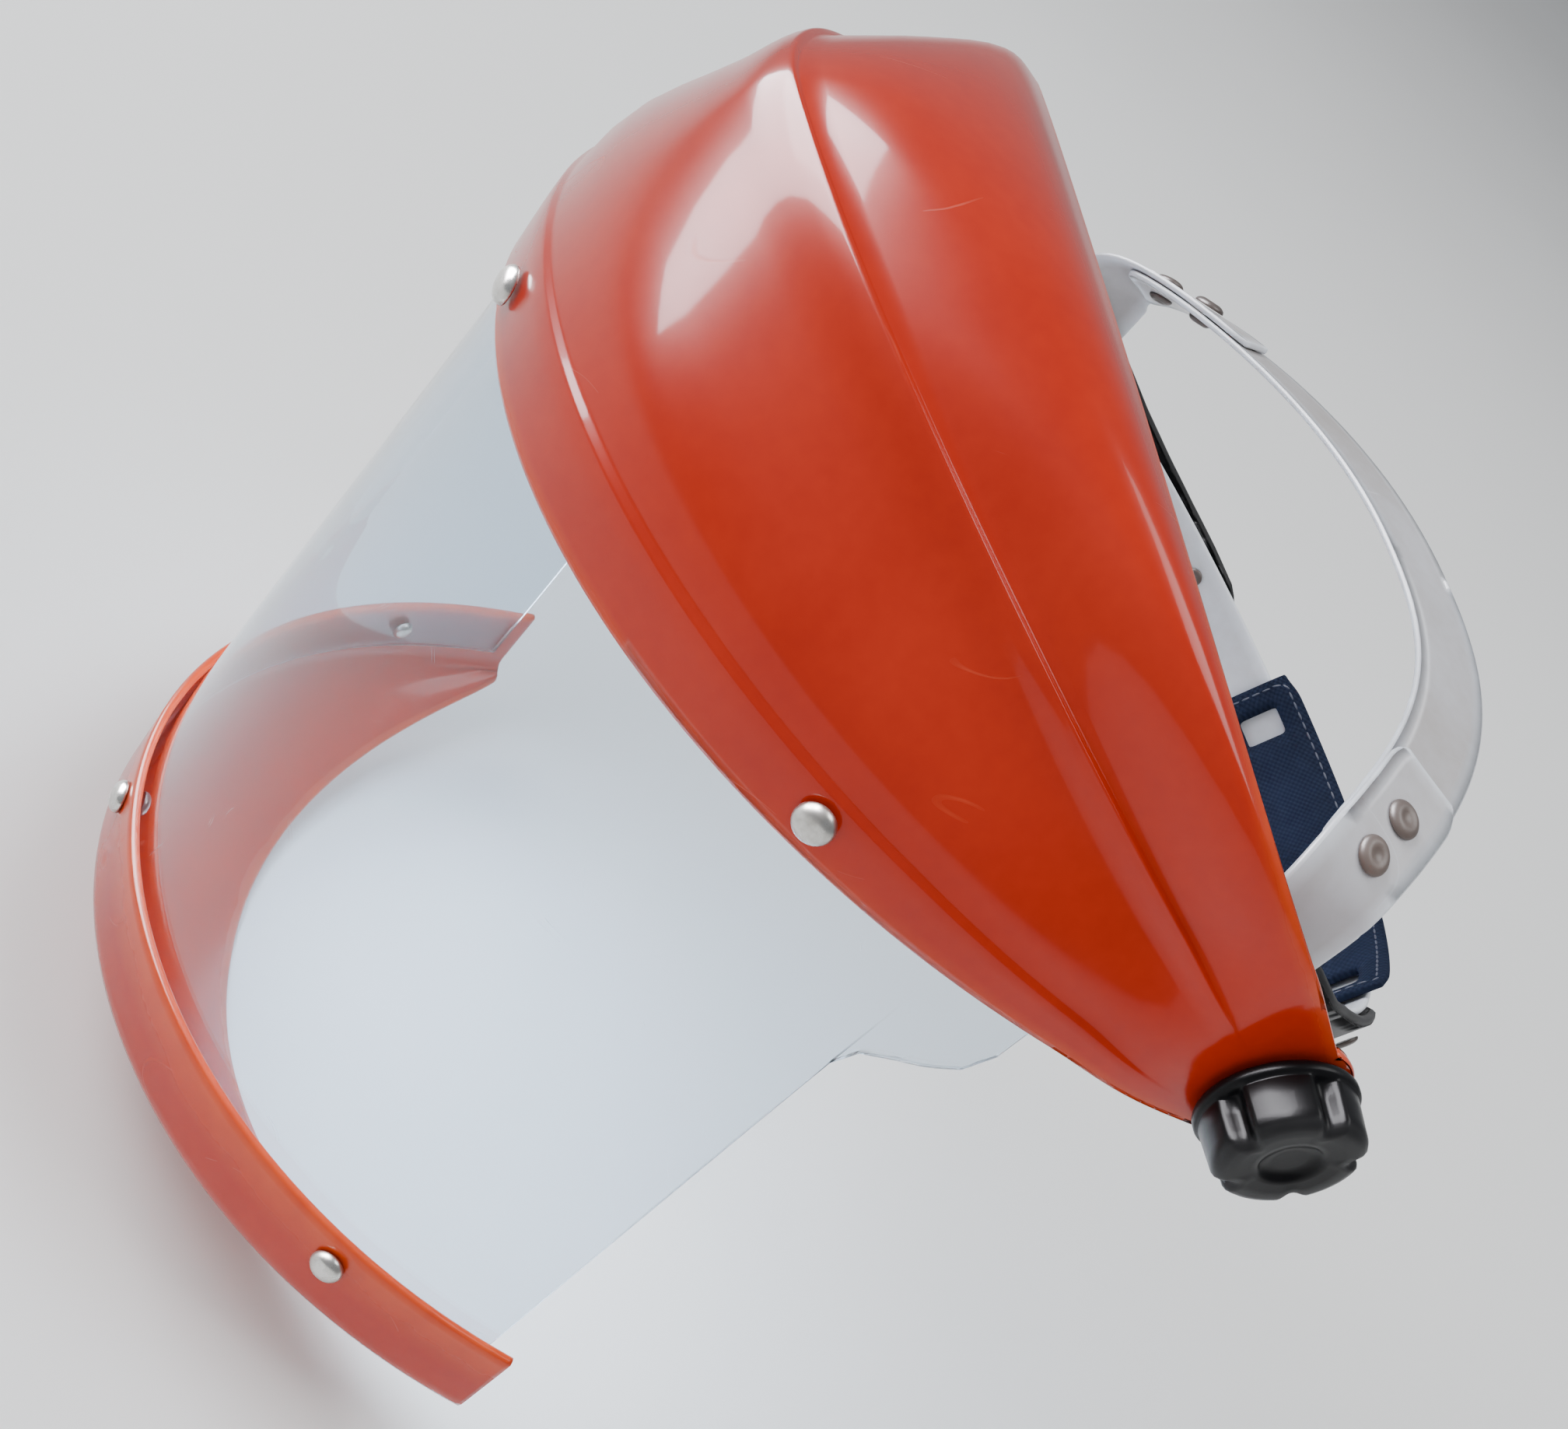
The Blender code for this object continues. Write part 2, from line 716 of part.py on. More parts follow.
def arm_face(y):
    """The arm's inner face: flat by the bolt, then in with the bands fore and aft."""
    ring = nape_x(y) if y > 0 else brow_x(y)
    flat = ARM_IN
    blend = float(smooth(0.016, 0.044, abs(y)))
    return flat * (1 - blend) + (ring + BAND_T / 2 + GAP * 2.5) * blend


def nape_x(y):
    return RING_A * (1 - (y / RING_BACK) ** NAPE_POWER) ** (1 / NAPE_POWER)


def brow_x(y):
    return RING_A * (1 - (-y / RING_FRONT) ** 2.15) ** (1 / 2.15)


def arm_stud(side, y):
    """Where a stud fixes a band to the arm, on the band's middle, and its direction."""
    d = 0.001
    ring = nape_x if y > 0 else brow_x
    slope = (ring(y + d) - ring(y - d)) / (2 * d)
    p = ring_point(np.array(side * ring(y)), np.array(y))
    flat = unit(np.array([side * 1.0, -slope]))
    n = np.array([flat[0], flat[1] * math.cos(RING_TILT), -flat[1] * math.sin(RING_TILT)])
    return p, n


def make_studs(group):
    look = material("stud", STUD, 0.3, 0.5)
    for side, word in ((1, "left"), (-1, "right")):
        for y, where in ((-0.040, "front"), (0.072, "rear")):
            p, n = arm_stud(side, y)
            out = BAND_T / 2 + ARM_T + GAP * 3 + (0.0009 if y < 0 else 0.0006)
            back = -BAND_T / 2 - GAP
            profile = [
                (out + 0.0014, 0),
                (out + 0.0012, 0.0024),
                (out + 0.0004, 0.0036),
                (out, 0.0036),
                (out, 0.0018),
                (back, 0.0018),
                (back, 0.0028),
                (back - 0.0008, 0.0026),
                (back - 0.0008, 0),
            ]
            aimed(group, "arm_stud_" + where + "_" + word, profile, p, n, look, 16)


def strap_frame(t, drop=0.0):
    """Middle line of the top strap: place, run, width and outward directions."""
    a = PLATE_IN + PLATE_T / 2
    power = 2 / 2.3

    def place(value):
        c, s = math.cos(value), max(math.sin(value), 0.0)
        x = math.copysign(a * abs(c) ** power, c)
        z = STRAP_FOOT_Z + (STRAP_TOP_Z - STRAP_FOOT_Z) * s**power
        return np.array([x, STRAP_TOP_Y * s**2.4, z])

    if drop > 0:
        return np.array([a, 0, STRAP_FOOT_Z - drop]), np.array([0, 0, 1.0]), np.array([0, 1.0, 0])
    p = place(t)
    run = unit(place(t + 0.002) - place(max(t - 0.002, 0.0)))
    lean = unit(np.array([0.0, 1.0, -0.02 * math.sin(t)]))
    wide = unit(lean - run * np.dot(lean, run))
    return p, run, wide


def strap_grid(stations, offset):
    """Five points across the strap at each station: (t, drop, half width)."""
    grid = []
    for t, drop, half in stations:
        p, run, wide = strap_frame(t, drop)
        out = np.cross(wide, run)
        grid.append([p + out * offset + wide * half * v for v in (-1, -0.5, 0, 0.5, 1)])
    return np.array(grid)


def mirrored(grid, side):
    return grid * np.array([side, 1.0, 1.0])


def make_top_strap(group, cutters):
    look = material("side_strap", WHITE, 0.0, 0.5)
    stations = [
        (0, 0.0308, 0.0040),
        (0, 0.0290, 0.0082),
        (0, 0.0250, 0.0114),
        (0, 0.0190, 0.0130),
        (0, 0.0100, 0.0132),
        (0, 0.0020, 0.0130),
        (0.08, 0, 0.0126),
        (0.16, 0, 0.0121),
        (0.26, 0, 0.0115),
        (0.36, 0, 0.0110),
        (0.46, 0, 0.0106),
        (0.56, 0, 0.0103),
        (0.66, 0, 0.0101),
        (0.76, 0, 0.0100),
        (0.82, 0, 0.0092),
        (0.85, 0, 0.0070),
    ]
    outer = strap_grid(stations, PLATE_T / 2)
    inner = strap_grid(stations, -PLATE_T / 2)
    for side, word in ((1, "left"), (-1, "right")):
        plate = shell(
            group, "side_strap_" + word, mirrored(outer, side), mirrored(inner, side), look, 0.3
        )
        cut(plate, cutters, (side * PLATE_IN, 0, 0), (1, 0, 0), SHANK_R + GAP, 0.004)
        for t in STRAP_STUDS:
            p, n = strap_stud(side, t)
            cut(plate, cutters, p, n, 0.0018 + GAP, 0.0016)
    mid = -(PLATE_T + GAP)
    values = np.concatenate([[0.30, 0.33], np.linspace(0.40, math.pi - 0.40, 37)])
    values = np.concatenate([values, [math.pi - 0.33, math.pi - 0.30]])
    width = np.full(len(values), STRAP_W / 2)
    width[0] = width[-1] = 0.0065
    width[1] = width[-2] = 0.0092
    stations = [(v, 0, w) for v, w in zip(values, width)]
    outer = strap_grid(stations, mid + PLATE_T / 2)
    inner = strap_grid(stations, mid - PLATE_T / 2)
    pale = material("upper_strap", WHITE, 0.0, 0.5)
    strap = shell(group, "upper_strap", outer, inner, pale, 0.3)
    for side in (1, -1):
        for t in STRAP_STUDS:
            p, n = strap_stud(side, t)
            cut(strap, cutters, p - n * (PLATE_T + GAP), n, 0.0018 + GAP, 0.0016)
    look = material("strap_stud", STUD, 0.3, 0.5)
    for side, word in ((1, "left"), (-1, "right")):
        for t, where in zip(STRAP_STUDS, ("lower", "upper")):
            p, n = strap_stud(side, t)
            out = PLATE_T / 2 + GAP
            back = -PLATE_T * 1.5 - GAP * 2
            profile = [
                (out + 0.0016, 0),
                (out + 0.0014, 0.0022),
                (out + 0.0006, 0.0038),
                (out, 0.0040),
                (out, 0.0018),
                (back, 0.0018),
                (back, 0.0032),
                (back - 0.0006, 0.0032),
                (back - 0.0012, 0.0022),
                (back - 0.0012, 0),
            ]
            aimed(group, "strap_stud_" + where + "_" + word, profile, p, n, look, 18)


def strap_stud(side, t):
    p, run, wide = strap_frame(t)
    out = np.cross(wide, run)
    turn = np.array([side, 1.0, 1.0])
    return p * turn, out * turn


def knob_lobes(angle):
    """Five broad lobes with narrow grooves between them."""
    wave = abs(math.cos(2.5 * angle + 0.3))
    return 0.83 + 0.17 * min(1.0, wave * 1.9) ** 1.3


def make_hinges(group):
    black = material("knob", BLACK, 0.0, 0.3)
    steel = material("pivot_bolt", STEEL, 1.0, 0.35)
    bush = material("spacer", BLACK, 0.0, 0.5)
    ring = material("washer", STEEL, 1.0, 0.4)
    hole = SHANK_R + GAP
    crown_in = EAR_X - CROWN_T - GAP
    top = KNOB_IN + KNOB_DEEP
    for side, word in ((1, "left"), (-1, "right")):
        head = ARM_IN - GAP
        profile = [
            (head - 0.0028, 0),
            (head - 0.0026, 0.0026),
            (head - 0.0018, 0.0048),
            (head - 0.0006, 0.0064),
            (head, 0.0066),
            (head, SHANK_R),
            (top - 0.0028, SHANK_R),
            (top - 0.0024, SHANK_R - 0.0004),
            (top - 0.0024, 0),
        ]
        turned(group, "pivot_bolt_" + word, profile, side, steel, count=24)
        profile = [
            (SPACER_IN, hole),
            (SPACER_IN, 0.0105),
            (SPACER_IN + 0.0005, 0.0110),
            (crown_in - 0.0005, 0.0110),
            (crown_in, 0.0105),
            (crown_in, hole),
        ]
        turned(group, "spacer_" + word, profile, side, bush, count=28)
        profile = [
            (WASHER_IN, hole),
            (WASHER_IN, 0.0085),
            (WASHER_IN + 0.0012, 0.0085),
            (WASHER_IN + 0.0012, hole),
        ]
        turned(group, "washer_" + word, profile, side, ring, count=28)
        profile = [
            (top - 0.0019, 0),
            (top - 0.0019, hole),
            (KNOB_IN, hole),
            (KNOB_IN, KNOB_R - 0.0006),
            (KNOB_IN + 0.0006, KNOB_R),
            (KNOB_IN + 0.0020, KNOB_R),
            (KNOB_IN + 0.0027, KNOB_R - 0.0008),
            (KNOB_IN + 0.0030, 0.0142, True),
            (top - 0.0018, 0.0138, True),
            (top - 0.0006, 0.0129, True),
            (top, 0.0114, True),
            (top, 0.0054),
            (top - 0.0006, 0.0042),
            (top - 0.0008, 0),
        ]
        turned(group, "knob_" + word, profile, side, black, count=60, lobes=knob_lobes)


def main():
    clear_scene()
    group = make_collection("face_shield")
    cutters = make_collection("cutters")
    make_crown(group, cutters)
    make_visor(group, cutters)
    make_chin_guard(group, cutters)
    make_rivets(group)
    make_head_ring(group, cutters)
    make_nape_pad(group)
    make_side_arm(group, cutters, 1, "side_arm_left")
    make_side_arm(group, cutters, -1, "side_arm_right")
    make_studs(group)
    make_top_strap(group, cutters)
    make_hinges(group)


main()
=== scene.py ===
"""Industrial face shield: moulded crown, clear visor and chin guard on a strap headgear.

Metres. +X is the wearer's left, -Y is forward, +Z is up. The origin is the middle of the
pivot axis between the two knobs.
"""

import math

import bmesh
import bpy
import numpy as np
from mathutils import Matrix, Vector


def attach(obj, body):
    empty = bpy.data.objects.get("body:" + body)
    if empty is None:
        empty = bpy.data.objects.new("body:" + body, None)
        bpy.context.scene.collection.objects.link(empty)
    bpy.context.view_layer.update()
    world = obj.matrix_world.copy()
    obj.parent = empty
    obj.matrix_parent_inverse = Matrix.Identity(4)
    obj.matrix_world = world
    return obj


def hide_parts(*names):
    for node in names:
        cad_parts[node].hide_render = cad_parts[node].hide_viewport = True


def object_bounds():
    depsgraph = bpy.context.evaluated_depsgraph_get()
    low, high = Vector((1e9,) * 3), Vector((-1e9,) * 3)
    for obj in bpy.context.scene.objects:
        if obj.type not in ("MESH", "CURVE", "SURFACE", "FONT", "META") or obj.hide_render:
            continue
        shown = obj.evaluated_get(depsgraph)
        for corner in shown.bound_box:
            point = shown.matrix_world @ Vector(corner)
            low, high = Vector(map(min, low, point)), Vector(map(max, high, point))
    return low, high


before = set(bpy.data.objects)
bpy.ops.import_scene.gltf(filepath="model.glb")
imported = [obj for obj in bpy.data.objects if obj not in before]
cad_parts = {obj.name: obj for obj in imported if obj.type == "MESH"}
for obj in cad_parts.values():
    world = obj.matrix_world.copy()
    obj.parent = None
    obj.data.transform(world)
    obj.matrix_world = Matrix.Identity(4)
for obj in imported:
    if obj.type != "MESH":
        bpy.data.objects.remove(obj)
cad_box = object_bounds()

# ---------------------------------------------------------------- view
# The shield is seen from above its left side, leaning over in the frame.
view = bpy.data.objects.new("view", bpy.data.cameras.new("view"))
bpy.context.scene.collection.objects.link(view)
view.location = (0.30316, -0.25256, 0.18252)
view.rotation_euler = [math.radians(angle) for angle in (45.866, -35.406, 85.146)]
view.data.sensor_fit = "HORIZONTAL"
view.data.sensor_width = 36.0
view.data.lens = 43.725
view.data.clip_start = 0.01
bpy.context.scene.camera = view

# ---------------------------------------------------------------- crown
# The crown is one injection moulding of glossy orange plastic, 2.4 mm thick. A smooth seat
# for the visor runs along its lower edge, a fine rib crosses it from ear to ear, and each
# ear turns on a pivot bolt.
EAR_X = 0.1270
EAR_R = 0.0150
CROWN_T = 0.0024
CROWN_HALF = 0.1262
EDGE_Y = -0.1572
EDGE_Z = -0.0102
SEAT_WIDE = 0.0200
RIB_H = 0.0016
SEAT_STEP = 0.0010
RIB_AT = 3
CROWN_PROFILE = [
    (EDGE_Y, EDGE_Z),
    (-0.1571, 0.0098),
    (-0.1515, 0.0355),
    (-0.1392, 0.0622),
    (-0.1265, 0.0685),
    (-0.1110, 0.0718),
    (-0.0865, 0.0722),
    (-0.0722, 0.0665),
]
ORANGE_DEEP = (0.34, 0.0085, 0.0001, 1.0)
ORANGE_PALE = (0.44, 0.0170, 0.0002, 1.0)
# The next colour is the paler orange of scratches and rims; on the rims it is partly rubbing wear and partly a painted
# highlight.
ORANGE_RUB_AND_HIGHLIGHT = (0.70, 0.090, 0.012, 1.0)


def unit(vectors):
    length = np.linalg.norm(vectors, axis=-1, keepdims=True)
    return vectors / np.maximum(length, 1e-12)


def smooth(low, high, value):
    k = np.clip((value - low) / (high - low), 0.0, 1.0)
    return k * k * (3 - 2 * k)


def grid_normals(grid):
    return unit(np.cross(np.gradient(grid, axis=0), np.gradient(grid, axis=1)))


def along(guides, where):
    """Points at given distances on a smooth curve through the guide points, and their knots."""
    guides = np.asarray(guides, float)
    step = np.linalg.norm(np.diff(guides, axis=0), axis=1)
    knots = np.concatenate([[0], np.cumsum(step)])
    slopes = np.empty_like(guides)
    slopes[0] = (guides[1] - guides[0]) / step[0]
    slopes[-1] = (guides[-1] - guides[-2]) / step[-1]
    for k in range(1, len(guides) - 1):
        before = (guides[k] - guides[k - 1]) / step[k - 1]
        after = (guides[k + 1] - guides[k]) / step[k]
        slopes[k] = (before * step[k] + after * step[k - 1]) / (step[k] + step[k - 1])
    out = []
    for s in where:
        k = int(np.clip(np.searchsorted(knots, s) - 1, 0, len(step) - 1))
        h = step[k]
        w = (s - knots[k]) / h
        out.append(
            (2 * w**3 - 3 * w**2 + 1) * guides[k]
            + (w**3 - 2 * w**2 + w) * h * slopes[k]
            + (3 * w**2 - 2 * w**3) * guides[k + 1]
            + (w**3 - w**2) * h * slopes[k + 1]
        )
    return np.array(out), knots


def new_piece(name, points, faces, edge=None, flat=None):
    """A smooth mesh object with outward faces. edge marks how near each point is to a rim,
    and flat gives each point's place on the sheet before it was bent, as its UV map."""
    mesh = bpy.data.meshes.new(name)
    mesh.from_pydata([tuple(p) for p in points], [], [tuple(f) for f in faces])
    if edge is not None:
        mark = mesh.attributes.new("edge", "FLOAT", "POINT")
        mark.data.foreach_set("value", np.asarray(edge, np.float32))
    if flat is not None:
        corners = np.empty(len(mesh.loops), np.int32)
        mesh.loops.foreach_get("vertex_index", corners)
        layer = mesh.uv_layers.new(name="sheet")
        layer.data.foreach_set("uv", np.asarray(flat, np.float32)[corners].reshape(-1))
    work = bmesh.new()
    work.from_mesh(mesh)
    bmesh.ops.remove_doubles(work, verts=work.verts, dist=1e-6)
    bmesh.ops.recalc_face_normals(work, faces=work.faces)
    work.to_mesh(mesh)
    work.free()
    mesh.shade_smooth()
    piece = bpy.data.objects.new(name, mesh)
    bpy.context.scene.collection.objects.link(piece)
    return piece


def closed_sheet(name, outer, inner, steps=3):
    """A wall between two matching grids of points, closed all round by a rounded rim."""
    rows, cols = outer.shape[:2]
    ring = [(0, c) for c in range(cols)] + [(r, cols - 1) for r in range(1, rows)]
    ring += [(rows - 1, c) for c in range(cols - 2, -1, -1)]
    ring += [(r, 0) for r in range(rows - 2, 0, -1)]
    outer, inner = outer.copy(), inner.copy()
    middle = (outer + inner) / 2
    rim = []
    for r, c in ring:
        near = middle[min(max(r, 1), rows - 2), min(max(c, 1), cols - 2)]
        half = (outer[r, c] - inner[r, c]) / 2
        out = unit(middle[r, c] - near) * np.linalg.norm(half)
        outer[r, c] -= out
        inner[r, c] -= out
        for k in range(1, steps + 1):
            turn = math.pi * k / (steps + 1)
            rim.append(middle[r, c] - out + half * math.cos(turn) + out * math.sin(turn))
    border = np.array([middle[r, c] for r, c in ring])
    points = np.concatenate([outer.reshape(-1, 3), inner.reshape(-1, 3), rim])
    away = np.sqrt(((points[:, None] - border[None]) ** 2).sum(-1)).min(1)
    edge = 1 - smooth(0.0, 0.0040, away)
    across = np.concatenate([[0], np.cumsum(np.linalg.norm(np.diff(middle[rows // 2], axis=0), axis=1))])
    down = np.concatenate([[0], np.cumsum(np.linalg.norm(np.diff(middle[:, cols // 2], axis=0), axis=1))])
    flat = np.stack(np.meshgrid(across, down), axis=-1).reshape(-1, 2)
    rim_flat = np.repeat(np.array([(across[c], down[r]) for r, c in ring]), steps, axis=0)
    flat = np.concatenate([flat, flat, rim_flat])
    faces = []
    other = rows * cols
    for r in range(rows - 1):
        for c in range(cols - 1):
            a = r * cols + c
            faces.append((a, a + 1, a + cols + 1, a + cols))
            faces.append((other + a, other + a + cols, other + a + cols + 1, other + a + 1))
    count = len(ring)
    for i in range(count):
        j = (i + 1) % count
        here = [ring[i][0] * cols + ring[i][1]] + [2 * other + i * steps + k for k in range(steps)]
        there = [ring[j][0] * cols + ring[j][1]] + [2 * other + j * steps + k for k in range(steps)]
        here.append(here[0] + other)
        there.append(there[0] + other)
        for k in range(steps + 1):
            faces.append((here[k], here[k + 1], there[k + 1], there[k]))
    return new_piece(name, points, faces, edge, flat)


class Wire:
    """A link in a node tree. Arithmetic on it adds Math nodes, and node() adds any other."""

    def __init__(self, tree, socket=None):
        self.tree = tree
        self.socket = socket

    def node(self, kind, settings=None, inputs=None, out=0):
        made = self.tree.nodes.new(kind)
        for key, value in (settings or {}).items():
            setattr(made, key, value)
        for key, value in (inputs or {}).items():
            if isinstance(value, Wire):
                self.tree.links.new(value.socket, made.inputs[key])
            else:
                made.inputs[key].default_value = value
        return Wire(self.tree, made.outputs[out])

    def math(self, operation, *values, clamp=False):
        settings = {"operation": operation, "use_clamp": clamp}
        return self.node("ShaderNodeMath", settings, dict(enumerate(values)))

    def __add__(self, other):
        return self.math("ADD", self, other)

    def __radd__(self, other):
        return self.math("ADD", other, self)

    def __sub__(self, other):
        return self.math("SUBTRACT", self, other)

    def __rsub__(self, other):
        return self.math("SUBTRACT", other, self)

    def __mul__(self, other):
        return self.math("MULTIPLY", self, other)

    def __rmul__(self, other):
        return self.math("MULTIPLY", other, self)

    def __truediv__(self, other):
        return self.math("DIVIDE", self, other)

    def __pow__(self, other):
        return self.math("POWER", self, other)

    def __abs__(self):
        return self.math("ABSOLUTE", self)

    def clamp(self):
        return self.math("ADD", self, 0.0, clamp=True)

    def mix(self, low, high):
        """The colour low where this is 0 and high where it is 1."""
        settings = {"data_type": "RGBA", "clamp_factor": True}
        return self.node("ShaderNodeMix", settings, {0: self, 6: low, 7: high}, out=2)

    def noise(self, scale, detail=2.0, distortion=0.0, stretch=None):
        place = self
        if stretch:
            place = self.node("ShaderNodeMapping", {}, {"Vector": self, "Scale": stretch})
        values = {"Vector": place, "Scale": scale, "Detail": detail, "Distortion": distortion}
        return self.node("ShaderNodeTexNoise", {}, values)

    def into(self, node, name):
        self.tree.links.new(self.socket, node.inputs[name])


def new_look(name, roughness, metallic=0.0, coat=0.0, coat_roughness=0.1, ior=1.5):
    """A material, its Principled node and the object's own coordinates."""
    material = bpy.data.materials.new(name)
    material.use_nodes = True
    shader = material.node_tree.nodes["Principled BSDF"]
    shader.inputs["Roughness"].default_value = roughness
    shader.inputs["Metallic"].default_value = metallic
    shader.inputs["Coat Weight"].default_value = coat
    shader.inputs["Coat Roughness"].default_value = coat_roughness
    shader.inputs["IOR"].default_value = ior
    place = Wire(material.node_tree).node("ShaderNodeTexCoord", out="Object")
    return material, shader, place


def scratches(place, scale, width, share):
    """Thin broken hairlines, 1 on a line and 0 off it."""
    bend = place.noise(scale, 0.0, 1.2, stretch=(1.0, 0.35, 0.8))
    line = 1 - abs(bend - 0.5) / width
    cut = place.noise(scale * 2.3, 1.0)
    return line.clamp() * ((cut - (1 - share)) * 12).clamp()


def moulded(name, deep, pale, marking, roughness, peel, coat=0.0, rim_strength=0.5, grain=420.0, shine=0.5):
    """Moulded plastic: cloudy colour, fine skin, hair scratches and a paler rim, partly rubbing wear and partly a
    painted highlight.
    """
    material, shader, place = new_look(name, roughness, coat=coat, coat_roughness=0.06)
    shader.inputs["Specular IOR Level"].default_value = shine
    cloud = place.noise(17.0, 4.0, 0.4)
    speck = place.noise(310.0, 2.0)
    hair = scratches(place, 24.0, 0.0035, 0.42)
    edge = place.node("ShaderNodeAttribute", {"attribute_name": "edge"}, out="Fac")
    # Within 4 mm of a rim the colour turns paler: partly rubbing wear, partly a painted highlight along the edge.
    rim_rub_and_highlight = (edge * rim_strength * (0.5 + place.noise(150.0, 2.0))).clamp()
    tone = ((cloud - 0.5) * 2.2 + (speck - 0.5) * 0.5 + 0.5).clamp()
    colour = tone.mix(deep, pale)
    colour = rim_rub_and_highlight.mix(colour, marking)
    colour = (hair * 0.22).mix(colour, marking)
    colour.into(shader, "Base Color")
    (roughness + (cloud - 0.5) * 0.14 + hair * 0.25 + rim_rub_and_highlight * 0.15).clamp().into(shader, "Roughness")
    skin = place.noise(grain, 2.0) + place.noise(grain * 5, 1.0) * 0.35 - hair * 0.8
    values = {"Strength": 0.35, "Distance": peel, "Height": skin}
    place.node("ShaderNodeBump", {}, values).into(shader, "Normal")
    return material


def ear_point(degrees):
    return (EAR_R * math.cos(math.radians(degrees)), EAR_R * math.sin(math.radians(degrees)))


def crown_edge(t):
    """The crown's lower edge at t, from the left ear (0) over the brow to the right (pi)."""
    end = ear_point(-95)
    k = np.abs(np.sin(t)) ** (2 / 2.03)
    x = CROWN_HALF * np.sign(np.cos(t)) * np.abs(np.cos(t)) ** (2 / 2.03)
    return np.stack([x, end[0] + (EDGE_Y - end[0]) * k, end[1] + (EDGE_Z - end[1]) * k], axis=-1)


def crown_rows(t):
    """Distances along the crown's middle section, and how far each point is raised there."""
    knots = along(CROWN_PROFILE, [0.0])[1]
    total = knots[-1]
    s = abs(math.sin(t)) ** 0.93
    narrow = s + (1 - s) * 2 * EAR_R / total
    k = min(1.0, 1.0 / narrow)
    seat = min(SEAT_WIDE * min(1.0, (0.35 + 0.65 * s) / narrow * 0.9), 0.45 * knots[RIB_AT])
    rib = knots[RIB_AT] + 0.0060 * (1 - s)
    soft = min(0.0150 * k, 0.80 * (rib - seat - 0.0030 * k))
    start = seat + 0.0030 * k
    foot = rib - soft
    after = rib + 0.0016 * k
    steps = [(0.0, 0.0), (0.0014, 0.0), (0.0040, 0.0), (seat * 0.45, 0.0), (seat * 0.75, 0.0)]
    steps += [(seat, 0.0), (seat + 0.0010 * k, -0.25 * SEAT_STEP)]
    steps += [(seat + 0.0020 * k, -0.8 * SEAT_STEP), (start, -SEAT_STEP)]
    steps += [(start + (foot - start) * f, -SEAT_STEP) for f in (0.2, 0.4, 0.6, 0.8)]
    for f in (0.0, 0.17, 0.35, 0.52, 0.70, 0.85, 0.95):
        steps.append((foot + soft * f, -SEAT_STEP + RIB_H * smooth(0, 1, f) * 0.96))
    steps += [(rib, -SEAT_STEP + RIB_H), (rib + 0.0005 * k, -SEAT_STEP + RIB_H * 0.85)]
    steps += [(rib + 0.0011 * k, -SEAT_STEP + RIB_H * 0.25), (after, -SEAT_STEP)]
    rest = (0.06, 0.16, 0.25, 0.34, 0.43, 0.52, 0.61, 0.70, 0.76, 0.82, 0.87, 0.91, 0.95, 0.98)
    steps += [(after + (total - after) * f, -SEAT_STEP) for f in rest]
    steps += [(total - 0.0008, -SEAT_STEP), (total, -SEAT_STEP)]
    return np.array(steps)[:, 0], np.array(steps)[:, 1], total


base, lift = [], []
for t in np.linspace(0.0, math.pi, 141):
    where, raised, total = crown_rows(t)
    middle = along(CROWN_PROFILE, where)[0]
    share = where / total
    power = 2.03 - 0.44 * smooth(0.18, 0.50, share) + 0.78 * smooth(0.52, 1.05, share)
    half = CROWN_HALF + 0.0040 * smooth(0.1, 1.0, share)
    k = abs(math.sin(t)) ** (2 / power)
    low, high = np.array(ear_point(-95)), np.array(ear_point(85))
    end = low + (high - low) * share[:, None]
    x = half * np.sign(math.cos(t)) * abs(math.cos(t)) ** (2 / power)
    base.append(np.stack([x, *(end + (middle - end) * k[:, None]).T], axis=-1))
    lift.append(raised)
base, lift = np.stack(base, axis=1), np.stack(lift, axis=1)
# The ear closes in a half circle behind the bolt.
for turn in (22, 45, 67, 90):
    reach = math.sin(math.radians(turn))
    place = np.radians(np.linspace(-95, 85, base.shape[0]))
    for first in (True, False):
        column = base[:, 0 if first else -1].copy()
        column[:, 0] = EAR_X if first else -EAR_X
        column[:, 2] = column[:, 2] * (1 - reach) + EAR_R * np.sin(place) * reach
        wide = EAR_R * np.maximum(np.cos(place), 0.0) * reach
        column[:, 1] = np.maximum(wide, column[:, 1] + 0.0001)
        parts = [column[:, None], base] if first else [base, column[:, None]]
        base = np.concatenate(parts, axis=1)
        parts = [lift[:, :1], lift] if first else [lift, lift[:, -1:]]
        lift = np.concatenate(parts, axis=1)
away = np.hypot(base[..., 1], base[..., 2])
flat = 1 - smooth(0.0170, 0.0420, away)
base[..., 0] += (np.sign(base[..., 0]) * EAR_X - base[..., 0]) * flat
normal = grid_normals(base)
if normal[8, base.shape[1] // 2, 1] > 0:
    normal = -normal
straight = np.zeros_like(base)
straight[..., 0] = np.sign(base[..., 0])
normal = unit(normal + (straight - normal) * smooth(0.0, 0.6, flat)[..., None])
outer = base + normal * (lift * smooth(0.0180, 0.0380, away))[..., None]
crown = closed_sheet("crown_shell", outer, base - normal * CROWN_T)
orange = moulded(
    "glossy_orange", ORANGE_DEEP, ORANGE_PALE, ORANGE_RUB_AND_HIGHLIGHT, 0.24, 0.00003, coat=0.32, rim_strength=0.45, shine=0.2
)
crown.data.materials.append(orange)
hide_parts("crown")
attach(crown, "shield")

